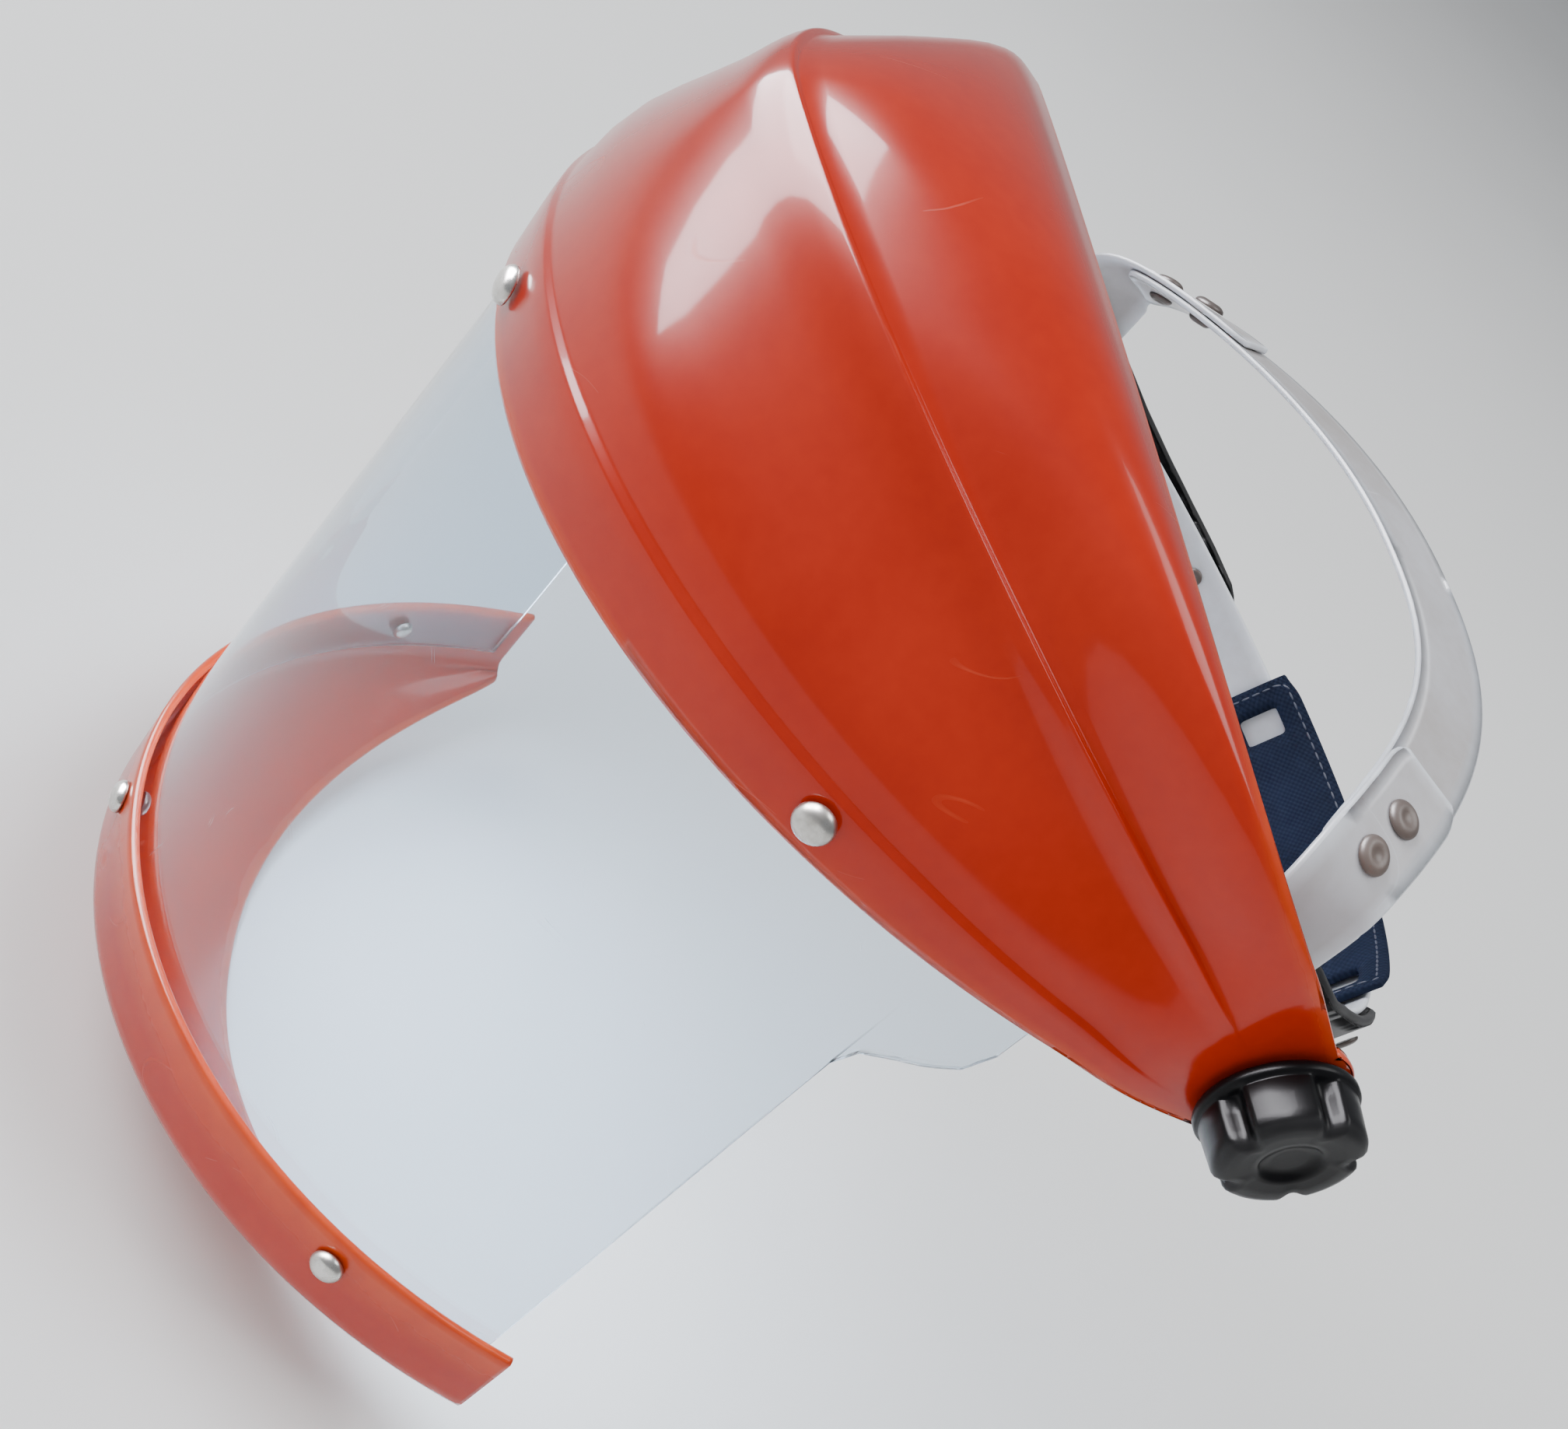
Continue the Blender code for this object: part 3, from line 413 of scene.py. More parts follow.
# ---------------------------------------------------------------- visor
# The visor is a sheet of clear polycarbonate, 1 mm thick, bent round the face. It is cut
# with a tab at each side that tucks up under the crown, and riveted to crown and chin guard.
VISOR_T = 0.0010
VISOR_TOP = 0.0080
VISOR_LOW = -0.1890
VISOR_A = 0.1230
VISOR_B = 0.1532
FLARE_A = 0.0010
FLARE_B = 0.0078
SIDE_Y = -0.0622
SIDE_LEAN = 0.0035
TAB_Y = 0.0420
TAB_PLACES = [0.0, 0.12, 0.35, 0.6, 0.85, 0.96]
TAB_LOW = [-0.0240, -0.0315, -0.0355, -0.0382, -0.0415, -0.0480]
CLEAR_TINT = (0.86, 0.93, 0.97, 1.0)
CLEAR_GLOSS = (0.70, 0.79, 0.88, 1.0)


def visor_section(t, z, grow=0.0):
    """A point of the visor's middle surface, moved outwards by grow."""
    k = (VISOR_TOP - z) / (VISOR_TOP - VISOR_LOW)
    a = VISOR_A + FLARE_A * k + grow
    b = VISOR_B + FLARE_B * k + grow
    return np.stack([a * np.cos(t), -b * np.sin(t), z], axis=-1)


tab, side = math.asin(TAB_Y / VISOR_B), math.asin(-SIDE_Y / VISOR_B)
inset = np.array([0, 0.02, 0.05, 0.08, 0.12, 0.2, 0.3, 0.4, 0.5, 0.6, 0.7, 0.78, 0.85, 0.9, 0.93, 0.96])
tab_low = np.interp(inset, TAB_PLACES, TAB_LOW)
left = tab + (side - tab) * inset
middle = np.linspace(side, math.pi - side, 111)
t = np.concatenate([left, middle, math.pi - left[::-1]])
top = crown_edge(t)[:, 2] + 0.0180 * np.abs(np.sin(t)) ** 0.6
low = VISOR_LOW + 0.0025 * np.sin(t) ** 4
low[: len(left)] = tab_low
low[-len(left) :] = tab_low[::-1]
grids = []
for grow in (VISOR_T / 2, -VISOR_T / 2):
    rows = []
    for share in np.concatenate([[0.0, 0.01], np.linspace(0.05, 0.95, 19), [0.99, 1.0]]):
        z = top + (low - top) * share
        lean = SIDE_LEAN * np.clip((-0.055 - z) / 0.13, 0.0, 1.0) / VISOR_B
        lean = lean * (np.cos(t) / math.cos(side)) ** 3
        lean[: len(left)] = lean[-len(left) :] = 0.0
        rows.append(visor_section(t - lean, z, grow))
    grids.append(np.stack(rows))
visor = closed_sheet("visor_sheet", grids[0], grids[1])

# Clear sheet: glass to the eye, open to the lamps, with hair scratches and a pale cut edge.
clear, shader, place = new_look("clear_polycarbonate", 0.03, ior=1.45)
tree = clear.node_tree
shader.inputs["Base Color"].default_value = CLEAR_GLOSS
shader.inputs["Transmission Weight"].default_value = 1.0
hair = scratches(place, 30.0, 0.0022, 0.38)
haze = place.noise(26.0, 3.0)
rim = place.node("ShaderNodeAttribute", {"attribute_name": "edge"}, out="Fac") ** 8
(0.015 + hair * 0.35 + ((haze - 0.55) * 0.5).clamp() * 0.12 + rim * 0.5).into(shader, "Roughness")
values = {"Strength": 0.25, "Distance": 0.00003, "Height": place.noise(60.0, 1.0) - hair * 0.3}
place.node("ShaderNodeBump", {}, values).into(shader, "Normal")
lamp = place.node("ShaderNodeLightPath", out="Is Shadow Ray")
through = place.node("ShaderNodeBsdfTransparent", {}, {"Color": CLEAR_TINT})
output = tree.nodes["Material Output"]
joined = {0: lamp, 1: Wire(tree, shader.outputs[0]), 2: through}
place.node("ShaderNodeMixShader", {}, joined).into(output, "Surface")
visor.data.materials.append(clear)
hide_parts("visor")
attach(visor, "shield")

# ---------------------------------------------------------------- chin guard
# The chin guard is a second orange moulding, an upright strip outside the visor's foot with
# a lip that slopes in and down under the wearer's chin. It narrows towards its two ends.
CHIN_T = 0.0022
CHIN_H = 0.0270
FLANGE_IN = 0.0480
FLANGE_DROP = 0.0300


def chin_low(t):
    return -0.1990 + 0.0055 * np.sin(t) ** 3


end = math.asin(0.0575 / 0.1640)
t = np.concatenate([[end, end + 0.006], np.linspace(end, math.pi - end, 117)[1:-1], [math.pi - end - 0.006, math.pi - end]])
clearance = VISOR_T / 2 + 0.0004 + CHIN_T
plan_a = VISOR_A + FLARE_A + clearance
plan_b = VISOR_B + FLARE_B + clearance
plan = np.stack([plan_a * np.cos(t), -plan_b * np.sin(t)], axis=-1)
inward = unit(np.stack([-np.cos(t) / plan_a, np.sin(t) / plan_b], axis=-1))
foot = chin_low(t)
share = np.sin((t - end) / (math.pi - 2 * end) * math.pi) ** 0.85
reach = 0.0064 + (FLANGE_IN - 0.0064) * share
drop = 0.0004 + FLANGE_DROP * share
points, faces = [], []
for k in range(len(t)):
    w, d, z = reach[k], drop[k], foot[k]
    slope = d / w
    crest = z + CHIN_H
    section = [(0.0, crest - 0.0007), (0.0, crest - 0.0030), (0.0, z + 0.0130), (0.0, z + 0.0060)]
    section += [(0.0001, z + 0.0040), (0.0006, z + 0.0022), (0.0013, z + 0.0010)]
    section += [(0.0022, z + 0.0002), (0.0022 + (w - 0.0022) * 0.12, z + 0.0002 - d * 0.10)]
    section += [(w * f, z - d * f + 0.0008 * math.sin(math.pi * f)) for f in (0.3, 0.5, 0.7, 0.9)]
    section += [(w - 0.0007, z - d + 0.0001), (w - 0.0001, z - d + 0.0006), (w, z - d + 0.0011)]
    section += [(w - 0.0003, z - d + 0.0018), (w - 0.0009, z - d + 0.0023)]
    for f in (0.9, 0.7, 0.5, 0.3):
        section.append((w * f, z - d * f + 0.0008 * math.sin(math.pi * f) + 0.0023))
    section += [(0.0044, z + 0.0027 - slope * 0.0014), (0.0033, z + 0.0034), (0.0026, z + 0.0045)]
    section += [(CHIN_T, z + 0.0066), (CHIN_T, z + 0.0130), (CHIN_T, crest - 0.0030)]
    section += [(CHIN_T, crest - 0.0007), (CHIN_T * 0.8, crest - 0.0002), (CHIN_T * 0.5, crest)]
    section += [(CHIN_T * 0.2, crest - 0.0002)]
    for depth, height in section:
        points.append((*(plan[k] + inward[k] * depth), height))
size = len(section)
for k in range(len(t) - 1):
    for j in range(size):
        n = (j + 1) % size
        faces.append((k * size + j, k * size + n, (k + 1) * size + n, (k + 1) * size + j))
faces += [tuple(range(size)), tuple((len(t) - 1) * size + j for j in range(size))]
# The crest and the lip's outer rim are marked as rims, so they are painted paler there: partly rubbing wear, partly a
# painted highlight.
rims = [0, 1, size - 1, size - 2, size - 3, size - 4, 13, 14, 15, 16, 17]
edge = np.zeros(len(points))
for k in range(len(t)):
    edge[[k * size + j for j in rims]] = 1.0
chin = new_piece("chin_strip", points, faces, edge)
chin.data.materials.append(orange)
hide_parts("chin_guard")
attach(chin, "shield")

# ---------------------------------------------------------------- rivets
# Six tubular rivets join the visor to the crown and to the chin guard. Each has a bright
# domed head outside, 8 mm across, and a smaller rolled head inside.
RIVET_R = 0.0041
RIVET_H = 0.0024
RIVET_OUT = {"crown": (0.00480, 0.00560, 0.00560), "chin": (0.00400, 0.00400, 0.00400)}
RIVET_BACK = VISOR_T / 2 + 0.0010
STEEL = (0.62, 0.61, 0.58, 1.0)
STEEL_DULL = (0.36, 0.34, 0.31, 1.0)


def headed(name):
    """A node tree that stands a pressed head, turned on a lathe, on each point of a mesh.
    The point's "aim" gives the head's direction and its "size" scales it."""
    tree = bpy.data.node_groups.new(name, "GeometryNodeTree")
    face = tree.interface
    face.new_socket("Geometry", in_out="INPUT", socket_type="NodeSocketGeometry")
    for label in ("Head Radius", "Head Height", "Dimple Depth"):
        face.new_socket(label, in_out="INPUT", socket_type="NodeSocketFloat")
    face.new_socket("Finish", in_out="INPUT", socket_type="NodeSocketMaterial")
    face.new_socket("Geometry", in_out="OUTPUT", socket_type="NodeSocketGeometry")
    given = tree.nodes.new("NodeGroupInput")
    points, radius, height, dimple, finish = [Wire(tree, given.outputs[k]) for k in range(5)]
    lathe = {"Size X": 1.0, "Size Y": 1.0, "Vertices X": 33, "Vertices Y": 15}
    blank = points.node("GeometryNodeMeshGrid", {}, lathe)
    spot = points.node("GeometryNodeInputPosition")
    split = points.node("ShaderNodeSeparateXYZ", {}, {0: spot})
    turn = (split + 0.5) * (2 * math.pi)
    climb = (Wire(tree, split.socket.node.outputs[1]) + 0.5) * math.pi
    out = radius * climb.math("SINE", climb).math("MAXIMUM", climb.math("SINE", climb), 0.0) ** 0.72
    rise = height * climb.math("COSINE", climb)
    floor = rise.math("MAXIMUM", rise, height * -0.12)
    bowl = (1 - (out / (radius * 0.55)) ** 2).clamp() ** 1.5
    top = climb.math("GREATER_THAN", rise, 0.0)
    values = {0: out * turn.math("COSINE", turn), 1: out * turn.math("SINE", turn)}
    values[2] = floor - dimple * bowl * top
    shaped = points.node("ShaderNodeCombineXYZ", {}, values)
    head = points.node("GeometryNodeSetPosition", {}, {"Geometry": blank, "Position": shaped})
    head = points.node("GeometryNodeMergeByDistance", {}, {"Geometry": head, "Distance": 0.00002})
    aim = points.node("GeometryNodeInputNamedAttribute", {"data_type": "FLOAT_VECTOR"}, {"Name": "aim"})
    size = points.node("GeometryNodeInputNamedAttribute", {"data_type": "FLOAT"}, {"Name": "size"})
    lie = points.node("FunctionNodeAlignRotationToVector", {"axis": "Z"}, {"Vector": aim})
    values = {"Points": points, "Instance": head, "Rotation": lie, "Scale": size}
    made = points.node("GeometryNodeInstanceOnPoints", {}, values)
    made = points.node("GeometryNodeRealizeInstances", {}, {"Geometry": made})
    made = points.node("GeometryNodeSetMaterial", {}, {"Geometry": made, "Material": finish})
    made.into(tree.nodes.new("NodeGroupOutput"), 0)
    return tree


def grown(name, points, attributes, tree, values):
    """Runs a node tree on a mesh of loose points and returns the result as a plain mesh."""
    mesh = bpy.data.meshes.new(name)
    mesh.from_pydata([tuple(p) for p in points], [], [])
    for label, kind, data in attributes:
        mark = mesh.attributes.new(label, kind, "POINT")
        mark.data.foreach_set("vector" if kind == "FLOAT_VECTOR" else "value", np.ravel(data))
    seed = bpy.data.objects.new(name + "_seed", mesh)
    bpy.context.scene.collection.objects.link(seed)
    modifier = seed.modifiers.new("made", "NODES")
    modifier.node_group = tree
    for item in tree.interface.items_tree:
        if item.in_out == "INPUT" and item.name in values:
            modifier[item.identifier] = values[item.name]
    graph = bpy.context.evaluated_depsgraph_get()
    result = bpy.data.meshes.new_from_object(seed.evaluated_get(graph))
    result.name = name
    bpy.data.objects.remove(seed)
    result.shade_smooth()
    work = bmesh.new()
    work.from_mesh(result)
    bmesh.ops.recalc_face_normals(work, faces=work.faces)
    work.to_mesh(result)
    work.free()
    piece = bpy.data.objects.new(name, result)
    bpy.context.scene.collection.objects.link(piece)
    return piece


def metal(name, bright, dull, roughness, grain=900.0):
    """Plated metal: fine dull specks and faint handling marks."""
    material, shader, place = new_look(name, roughness, metallic=1.0)
    cloud = place.noise(180.0, 3.0)
    speck = place.noise(grain, 2.0)
    marking = ((cloud - 0.5) * 2.5 + (speck - 0.5) + 0.35).clamp()
    marking.mix(bright, dull).into(shader, "Base Color")
    (roughness + marking * 0.18).into(shader, "Roughness")
    values = {"Strength": 0.3, "Distance": 0.00002, "Height": speck}
    place.node("ShaderNodeBump", {}, values).into(shader, "Normal")
    return material


spots, aims, sizes = [], [], []
for where, places in (
    ("crown", [(v, crown_edge(np.array([v]))[0, 2] + 0.0085) for v in (math.pi / 2, 0.655, math.pi - 0.655)]),
    ("chin", [(v, chin_low(v) + 0.0185) for v in (math.pi / 2, 0.650, math.pi - 0.650)]),
):
    for (t, z), out in zip(places, RIVET_OUT[where]):
        spot = visor_section(np.array([t]), np.array([z]))[0]
        aim = unit(np.array([spot[0] / VISOR_A**2, spot[1] / VISOR_B**2, 0.0]))
        spots += [spot + aim * (out + 0.0002), spot - aim * RIVET_BACK]
        aims += [aim, -aim]
        sizes += [1.0, 0.74]
attributes = [("aim", "FLOAT_VECTOR", aims), ("size", "FLOAT", sizes)]
bright = metal("bright_rivet", STEEL, STEEL_DULL, 0.24)
head_tree = headed("pressed_head")
values = {"Head Radius": RIVET_R, "Head Height": RIVET_H, "Dimple Depth": 0.0, "Finish": bright}
rivets = grown("rivet_heads", spots, attributes, head_tree, values)
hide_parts(*[f"{a}_rivet_{b}" for a in ("crown", "chin") for b in ("centre", "left", "right")])
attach(rivets, "shield")

# ---------------------------------------------------------------- knobs
# A black moulded knob with five lobes is screwed on each pivot bolt, outside the crown's
# ear. Tightening it grips the ear, so that the shield stays where it is tilted to.
KNOB_IN = 0.1288
KNOB_DEEP = 0.0124
KNOB_R = 0.0150
BLACK_DEEP = (0.0015, 0.0015, 0.002, 1.0)
BLACK_PALE = (0.006, 0.006, 0.007, 1.0)
# The next colour is the paler black of scratches and rims: partly rubbing wear, partly a painted highlight.
BLACK_RUB_AND_HIGHLIGHT = (0.035, 0.035, 0.037, 1.0)

black = moulded("black_moulding", BLACK_DEEP, BLACK_PALE, BLACK_RUB_AND_HIGHLIGHT, 0.33, 0.00003, coat=0.03, shine=0.12)
KNOB_TOP = KNOB_IN + KNOB_DEEP
KNOB_PROFILE = [
    (KNOB_IN, 0.0036, 0),
    (KNOB_IN, 0.0090, 0),
    (KNOB_IN, KNOB_R - 0.0008, 0),
    (KNOB_IN + 0.0002, KNOB_R - 0.0003, 0),
    (KNOB_IN + 0.0007, KNOB_R, 0),
    (KNOB_IN + 0.0018, KNOB_R, 0),
    (KNOB_IN + 0.0023, KNOB_R - 0.0003, 0),
    (KNOB_IN + 0.0026, KNOB_R - 0.0009, 0.5),
    (KNOB_IN + 0.0031, 0.0143, 1),
    (KNOB_IN + 0.0060, 0.0141, 1),
    (KNOB_IN + 0.0090, 0.0139, 1),
    (KNOB_TOP - 0.0020, 0.0138, 1),
    (KNOB_TOP - 0.0011, 0.0134, 1),
    (KNOB_TOP - 0.0004, 0.0126, 1),
    (KNOB_TOP, 0.0114, 1),
    (KNOB_TOP - 0.0001, 0.0092, 0.6),
    (KNOB_TOP - 0.0003, 0.0072, 0.15),
    (KNOB_TOP - 0.0003, 0.0062, 0),
    (KNOB_TOP - 0.0007, 0.0056, 0),
    (KNOB_TOP - 0.0012, 0.0052, 0),
    (KNOB_TOP - 0.0013, 0.0030, 0),
    (KNOB_TOP - 0.0013, 0.0002, 0),
]
around = 150
for side, word in ((1, "left"), (-1, "right")):
    points, faces, edge = [], [], []
    for place, radius, lobed in KNOB_PROFILE:
        for k in range(around):
            angle = 2 * math.pi * k / around
            wave = 1 - min(1.0, abs(math.cos(2.5 * angle + 0.3)) * 1.9) ** 1.3
            r = radius * (1 - 0.17 * smooth(0, 1, wave) * lobed)
            points.append((side * place, r * math.cos(angle), r * math.sin(angle)))
            # A ring round the top's edge is marked as rim and painted paler: partly rubbing wear, partly a painted
            # highlight.
            edge.append(float(KNOB_TOP - 0.0012 < place and 0.0100 < radius < 0.0136) * 0.8)
    for j in range(len(KNOB_PROFILE) - 1):
        for k in range(around):
            n = (k + 1) % around
            faces.append((j * around + k, j * around + n, (j + 1) * around + n, (j + 1) * around + k))
    faces += [tuple(range(around)), tuple((len(KNOB_PROFILE) - 1) * around + k for k in range(around))]
    knob = new_piece("knob_cap_" + word, points, faces, edge)
    knob.data.materials.append(black)
    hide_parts("knob_" + word)
    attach(knob, "knob_" + word)

# ---------------------------------------------------------------- bolts, spacers and arms
# On each side a plated bolt runs from inside the headgear through a black nylon arm, the
# strap's plate, a nylon spacer, the crown's ear and a steel washer into the knob.
plated = metal("plated_steel", (0.55, 0.54, 0.52, 1.0), (0.30, 0.29, 0.27, 1.0), 0.32)
nylon = moulded("black_nylon", BLACK_DEEP, BLACK_PALE, BLACK_RUB_AND_HIGHLIGHT, 0.46, 0.00006, grain=700.0, shine=0.2)
for word in ("left", "right"):
    for node, look in (("pivot_bolt_", plated), ("washer_", plated), ("spacer_", nylon)):
        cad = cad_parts[node + word]
        cad.data.materials.clear()
        cad.data.materials.append(look)

RING_A = 0.0935
RING_FRONT = 0.1020
RING_BACK = 0.1140
RING_TILT = math.radians(22.0)
NAPE_POWER = 2.0
BROW_POWER = 2.15
BAND_T = 0.0015
ARM_IN = 0.0953
ARM_T = 0.0030
GAP = 0.0003
RING_UP = np.array([0.0, math.sin(RING_TILT), math.cos(RING_TILT)])
ARM_Y = [-0.052, -0.045, -0.030, -0.015, 0.0, 0.015, 0.030, 0.045, 0.058, 0.070, 0.080, 0.084]
ARM_HALF = [0.0070, 0.0095, 0.0105, 0.0125, 0.0135, 0.0125, 0.0105, 0.0095, 0.0090, 0.0088, 0.0082, 0.0060]


def ring_point(x, y):
    """A point of the head ring's plane, which is high at the brow and low at the nape."""
    return np.stack([x, y * math.cos(RING_TILT), -y * math.sin(RING_TILT)], axis=-1)


def ring_half(y):
    """Half the head ring's width at y, at the bands' middle."""
    deep, power = (RING_BACK, NAPE_POWER) if y > 0 else (RING_FRONT, BROW_POWER)
    return RING_A * (1 - (abs(y) / deep) ** power) ** (1 / power)


fine_y = np.concatenate([np.linspace(-0.052, -0.0505, 3), np.linspace(-0.049, 0.0815, 56), [0.0825, 0.084]])
half = np.interp(fine_y, ARM_Y, ARM_HALF)
for side, word in ((1, "left"), (-1, "right")):
    grids = []
    for layer in (1, 0):
        blend = smooth(0.016, 0.044, np.abs(fine_y))
        ring = np.array([ring_half(y) for y in fine_y])
        x = ARM_IN * (1 - blend) + (ring + BAND_T / 2 + GAP * 2.5) * blend + layer * ARM_T
        rows = [ring_point(side * x, fine_y) + RING_UP * (half * r)[:, None] for r in (-1, -0.9, -0.5, 0, 0.5, 0.9, 1)]
        grids.append(np.array(rows))
    arm = closed_sheet("arm_" + word, grids[0], grids[1])
    arm.data.materials.append(nylon)
    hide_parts("side_arm_" + word)
    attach(arm, "headgear")

# ---------------------------------------------------------------- head ring
# The head ring is two flexible bands: a wide black one over the brow and a narrow white one
# round the nape. A foam roll lines the brow band.
BROW_H = 0.0250
NAPE_H = 0.0140
WHITE_DEEP = (0.50, 0.50, 0.52, 1.0)
WHITE_PALE = (0.70, 0.73, 0.78, 1.0)
# The next colour, a bluish white, paints scratches and rims paler: partly rubbing wear, partly a painted reflection of
# bluish light.
WHITE_RUB_AND_HIGHLIGHT = (0.80, 0.84, 0.90, 1.0)
FOAM_DEEP = (0.030, 0.029, 0.031, 1.0)
FOAM_PALE = (0.075, 0.072, 0.075, 1.0)


def band_curve(t, front, grow):
    """The head ring in plan at t, moved outwards by grow."""
    deep, power = (-RING_FRONT, BROW_POWER) if front else (RING_BACK, NAPE_POWER)
    b = abs(deep) + grow
    c, s = np.cos(t), np.sin(t)
    x = (RING_A + grow) * np.sign(c) * np.abs(c) ** (2 / power)
    return ring_point(x, np.sign(deep) * b * np.abs(s) ** (2 / power))


def band_grids(t, front, grow, thick, height, rounded, rows=9, puff=0.0):
    shorter = np.ones(len(t))
    for k, share in ((0, 1.0), (1, 0.45), (2, 0.15)):
        shorter[k] = shorter[-1 - k] = 1 - rounded * share
    grids = []
    for side in (1, -1):
        rows_made = []
        for v in np.linspace(-1, 1, rows):
            swell = puff * (1 - abs(v) ** 2.5) * (0 if side > 0 else 1)
            line = band_curve(t, front, grow + side * thick / 2 - swell)
            rows_made.append(line + RING_UP * (height / 2 * v * shorter)[:, None])
        grids.append(np.stack(rows_made))
    return grids


white = moulded("white_band", WHITE_DEEP, WHITE_PALE, WHITE_RUB_AND_HIGHLIGHT, 0.42, 0.00003, rim_strength=0.7, grain=260.0)
t = np.concatenate([[0.235, 0.242, 0.255], np.linspace(0.27, math.pi - 0.27, 77), [math.pi - 0.255, math.pi - 0.242, math.pi - 0.235]])
brow = closed_sheet("brow_ring", *band_grids(t, True, 0.0, BAND_T, BROW_H, 0.3))
brow.data.materials.append(nylon)
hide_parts("brow_band")
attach(brow, "headgear")
t = np.concatenate([[0.236, 0.242, 0.253], np.linspace(0.266, math.pi - 0.266, 91), [math.pi - 0.253, math.pi - 0.242, math.pi - 0.236]])
nape = closed_sheet("nape_ring", *band_grids(t, False, 0.0, BAND_T, NAPE_H, 0.3))
nape.data.materials.append(white)
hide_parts("nape_band")
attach(nape, "headgear")

t = np.concatenate([[0.50, 0.51, 0.53], np.linspace(0.56, math.pi - 0.56, 71), [math.pi - 0.53, math.pi - 0.51, math.pi - 0.50]])
grow = -BAND_T / 2 - GAP - 0.0009
roll = closed_sheet("brow_roll", *band_grids(t, True, grow, 0.0014, BROW_H + 0.0038, 0.25, 13, 0.0028))
foam, shader, place = new_look("brow_foam", 0.9)
shader.inputs["Specular IOR Level"].default_value = 0.15
cells = place.node("ShaderNodeTexVoronoi", {}, {"Vector": place, "Scale": 900.0})
soft = place.noise(120.0, 3.0)
((cells * 1.2 + soft - 0.4).clamp()).mix(FOAM_DEEP, FOAM_PALE).into(shader, "Base Color")
(0.82 + soft * 0.15).into(shader, "Roughness")
values = {"Strength": 0.8, "Distance": 0.0003, "Height": cells + soft * 0.5}
place.node("ShaderNodeBump", {}, values).into(shader, "Normal")
roll.data.materials.append(foam)
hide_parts("brow_pad")
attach(roll, "headgear")

# ---------------------------------------------------------------- nape pad
# The nape pad is navy woven cloth over thin foam, sewn round its border. A short window
# near each end lets the nape band be threaded through; it slides along the band.
PAD_HALF = 0.0550
PAD_SHIFT = 0.0080
PAD_H = 0.0250
PAD_T = 0.0050
NAVY_DEEP = (0.006, 0.009, 0.020, 1.0)
NAVY_PALE = (0.022, 0.030, 0.058, 1.0)
THREAD = (0.035, 0.045, 0.080, 1.0)
WINDOW_U = (0.765, 0.895)
WINDOW_V = (-0.42, 0.42)


def pad_point(u, v, layer, lift=0.0):
    """A point of the pad: u along it, v up it, layer 0 by the band and 1 by the neck."""
    x = PAD_SHIFT + u * PAD_HALF
    border = max(abs(u), abs(v) * 0.98)
    near = 1.0
    for end in (-1, 1):
        du = max(WINDOW_U[0] - end * u, end * u - WINDOW_U[1], 0.0) * PAD_HALF
        dv = max(abs(v) - WINDOW_V[1], 0.0) * PAD_H / 2
        near = min(near, math.hypot(du, dv) / 0.0045)
    puff = (1 - abs(u) ** 14) * (1 - abs(v) ** 4) * (0.35 + 0.65 * smooth(0, 1, near))
    hem = 0.55 * smooth(0.90, 0.94, abs(u)) + 0.0 * border
    puff *= 1 - hem * (1 - smooth(0.94, 0.99, abs(u))) * 0.5
    thick = 0.0016 + (PAD_T - 0.0016) * puff
    deep = BAND_T / 2 + GAP * 2 + (0 if layer == 0 else thick) + (lift if layer else -lift)
    a, b = RING_A - deep, RING_BACK - deep
    y = b * (1 - abs(x / a) ** NAPE_POWER) ** (1 / NAPE_POWER)
    corner = 1 - 0.10 * smooth(0.90, 1.0, abs(u)) * abs(v)
    return ring_point(np.array(x), np.array(y)) + RING_UP * v * corner * PAD_H / 2


cols = np.concatenate([[-1.0, -0.985, -0.955, -0.925], np.linspace(-0.895, -0.765, 5), np.linspace(-0.73, 0.0, 17)])
cols = np.concatenate([cols, -cols[-2::-1]])
rows = np.concatenate([[-1.0, -0.94, -0.80, -0.60], np.linspace(-0.42, 0.42, 7), [0.60, 0.80, 0.94, 1.0]])
points, flat, faces = [], [], []
for layer in (0, 1):
    for v in rows:
        for u in cols:
            points.append(pad_point(u, v, layer))
            flat.append((u * PAD_HALF, v * PAD_H / 2))
count = len(rows) * len(cols)
open_edges = set()
for r in range(len(rows) - 1):
    for c in range(len(cols) - 1):
        u, v = (cols[c] + cols[c + 1]) / 2, (rows[r] + rows[r + 1]) / 2
        if WINDOW_U[0] < abs(u) < WINDOW_U[1] and abs(v) < WINDOW_V[1]:
            continue
        a = r * len(cols) + c
        quad = (a, a + 1, a + len(cols) + 1, a + len(cols))
        faces += [quad, tuple(count + k for k in reversed(quad))]
        for one, two in zip(quad, quad[1:] + quad[:1]):
            if (two, one) in open_edges:
                open_edges.remove((two, one))
            else:
                open_edges.add((one, two))
for one, two in sorted(open_edges):
    faces.append((two, one, one + count, two + count))
pad = new_piece("nape_cushion", points, faces, flat=flat)
round_over = pad.modifiers.new("round", "SUBSURF")
round_over.levels = round_over.render_levels = 2
cloth, shader, place = new_look("navy_cloth", 0.85)
shader.inputs["Specular IOR Level"].default_value = 0.02
sheet = place.node("ShaderNodeTexCoord", out="UV")
threads = []
for direction in ("X", "Y"):
    settings = {"wave_type": "BANDS", "bands_direction": direction, "wave_profile": "SIN"}
    threads.append(sheet.node("ShaderNodeTexWave", settings, {"Vector": sheet, "Scale": 210.0, "Distortion": 0.35}))
weave = threads[0] * threads[1] + (1 - threads[0]) * (1 - threads[1])
lint = place.noise(240.0, 4.0)
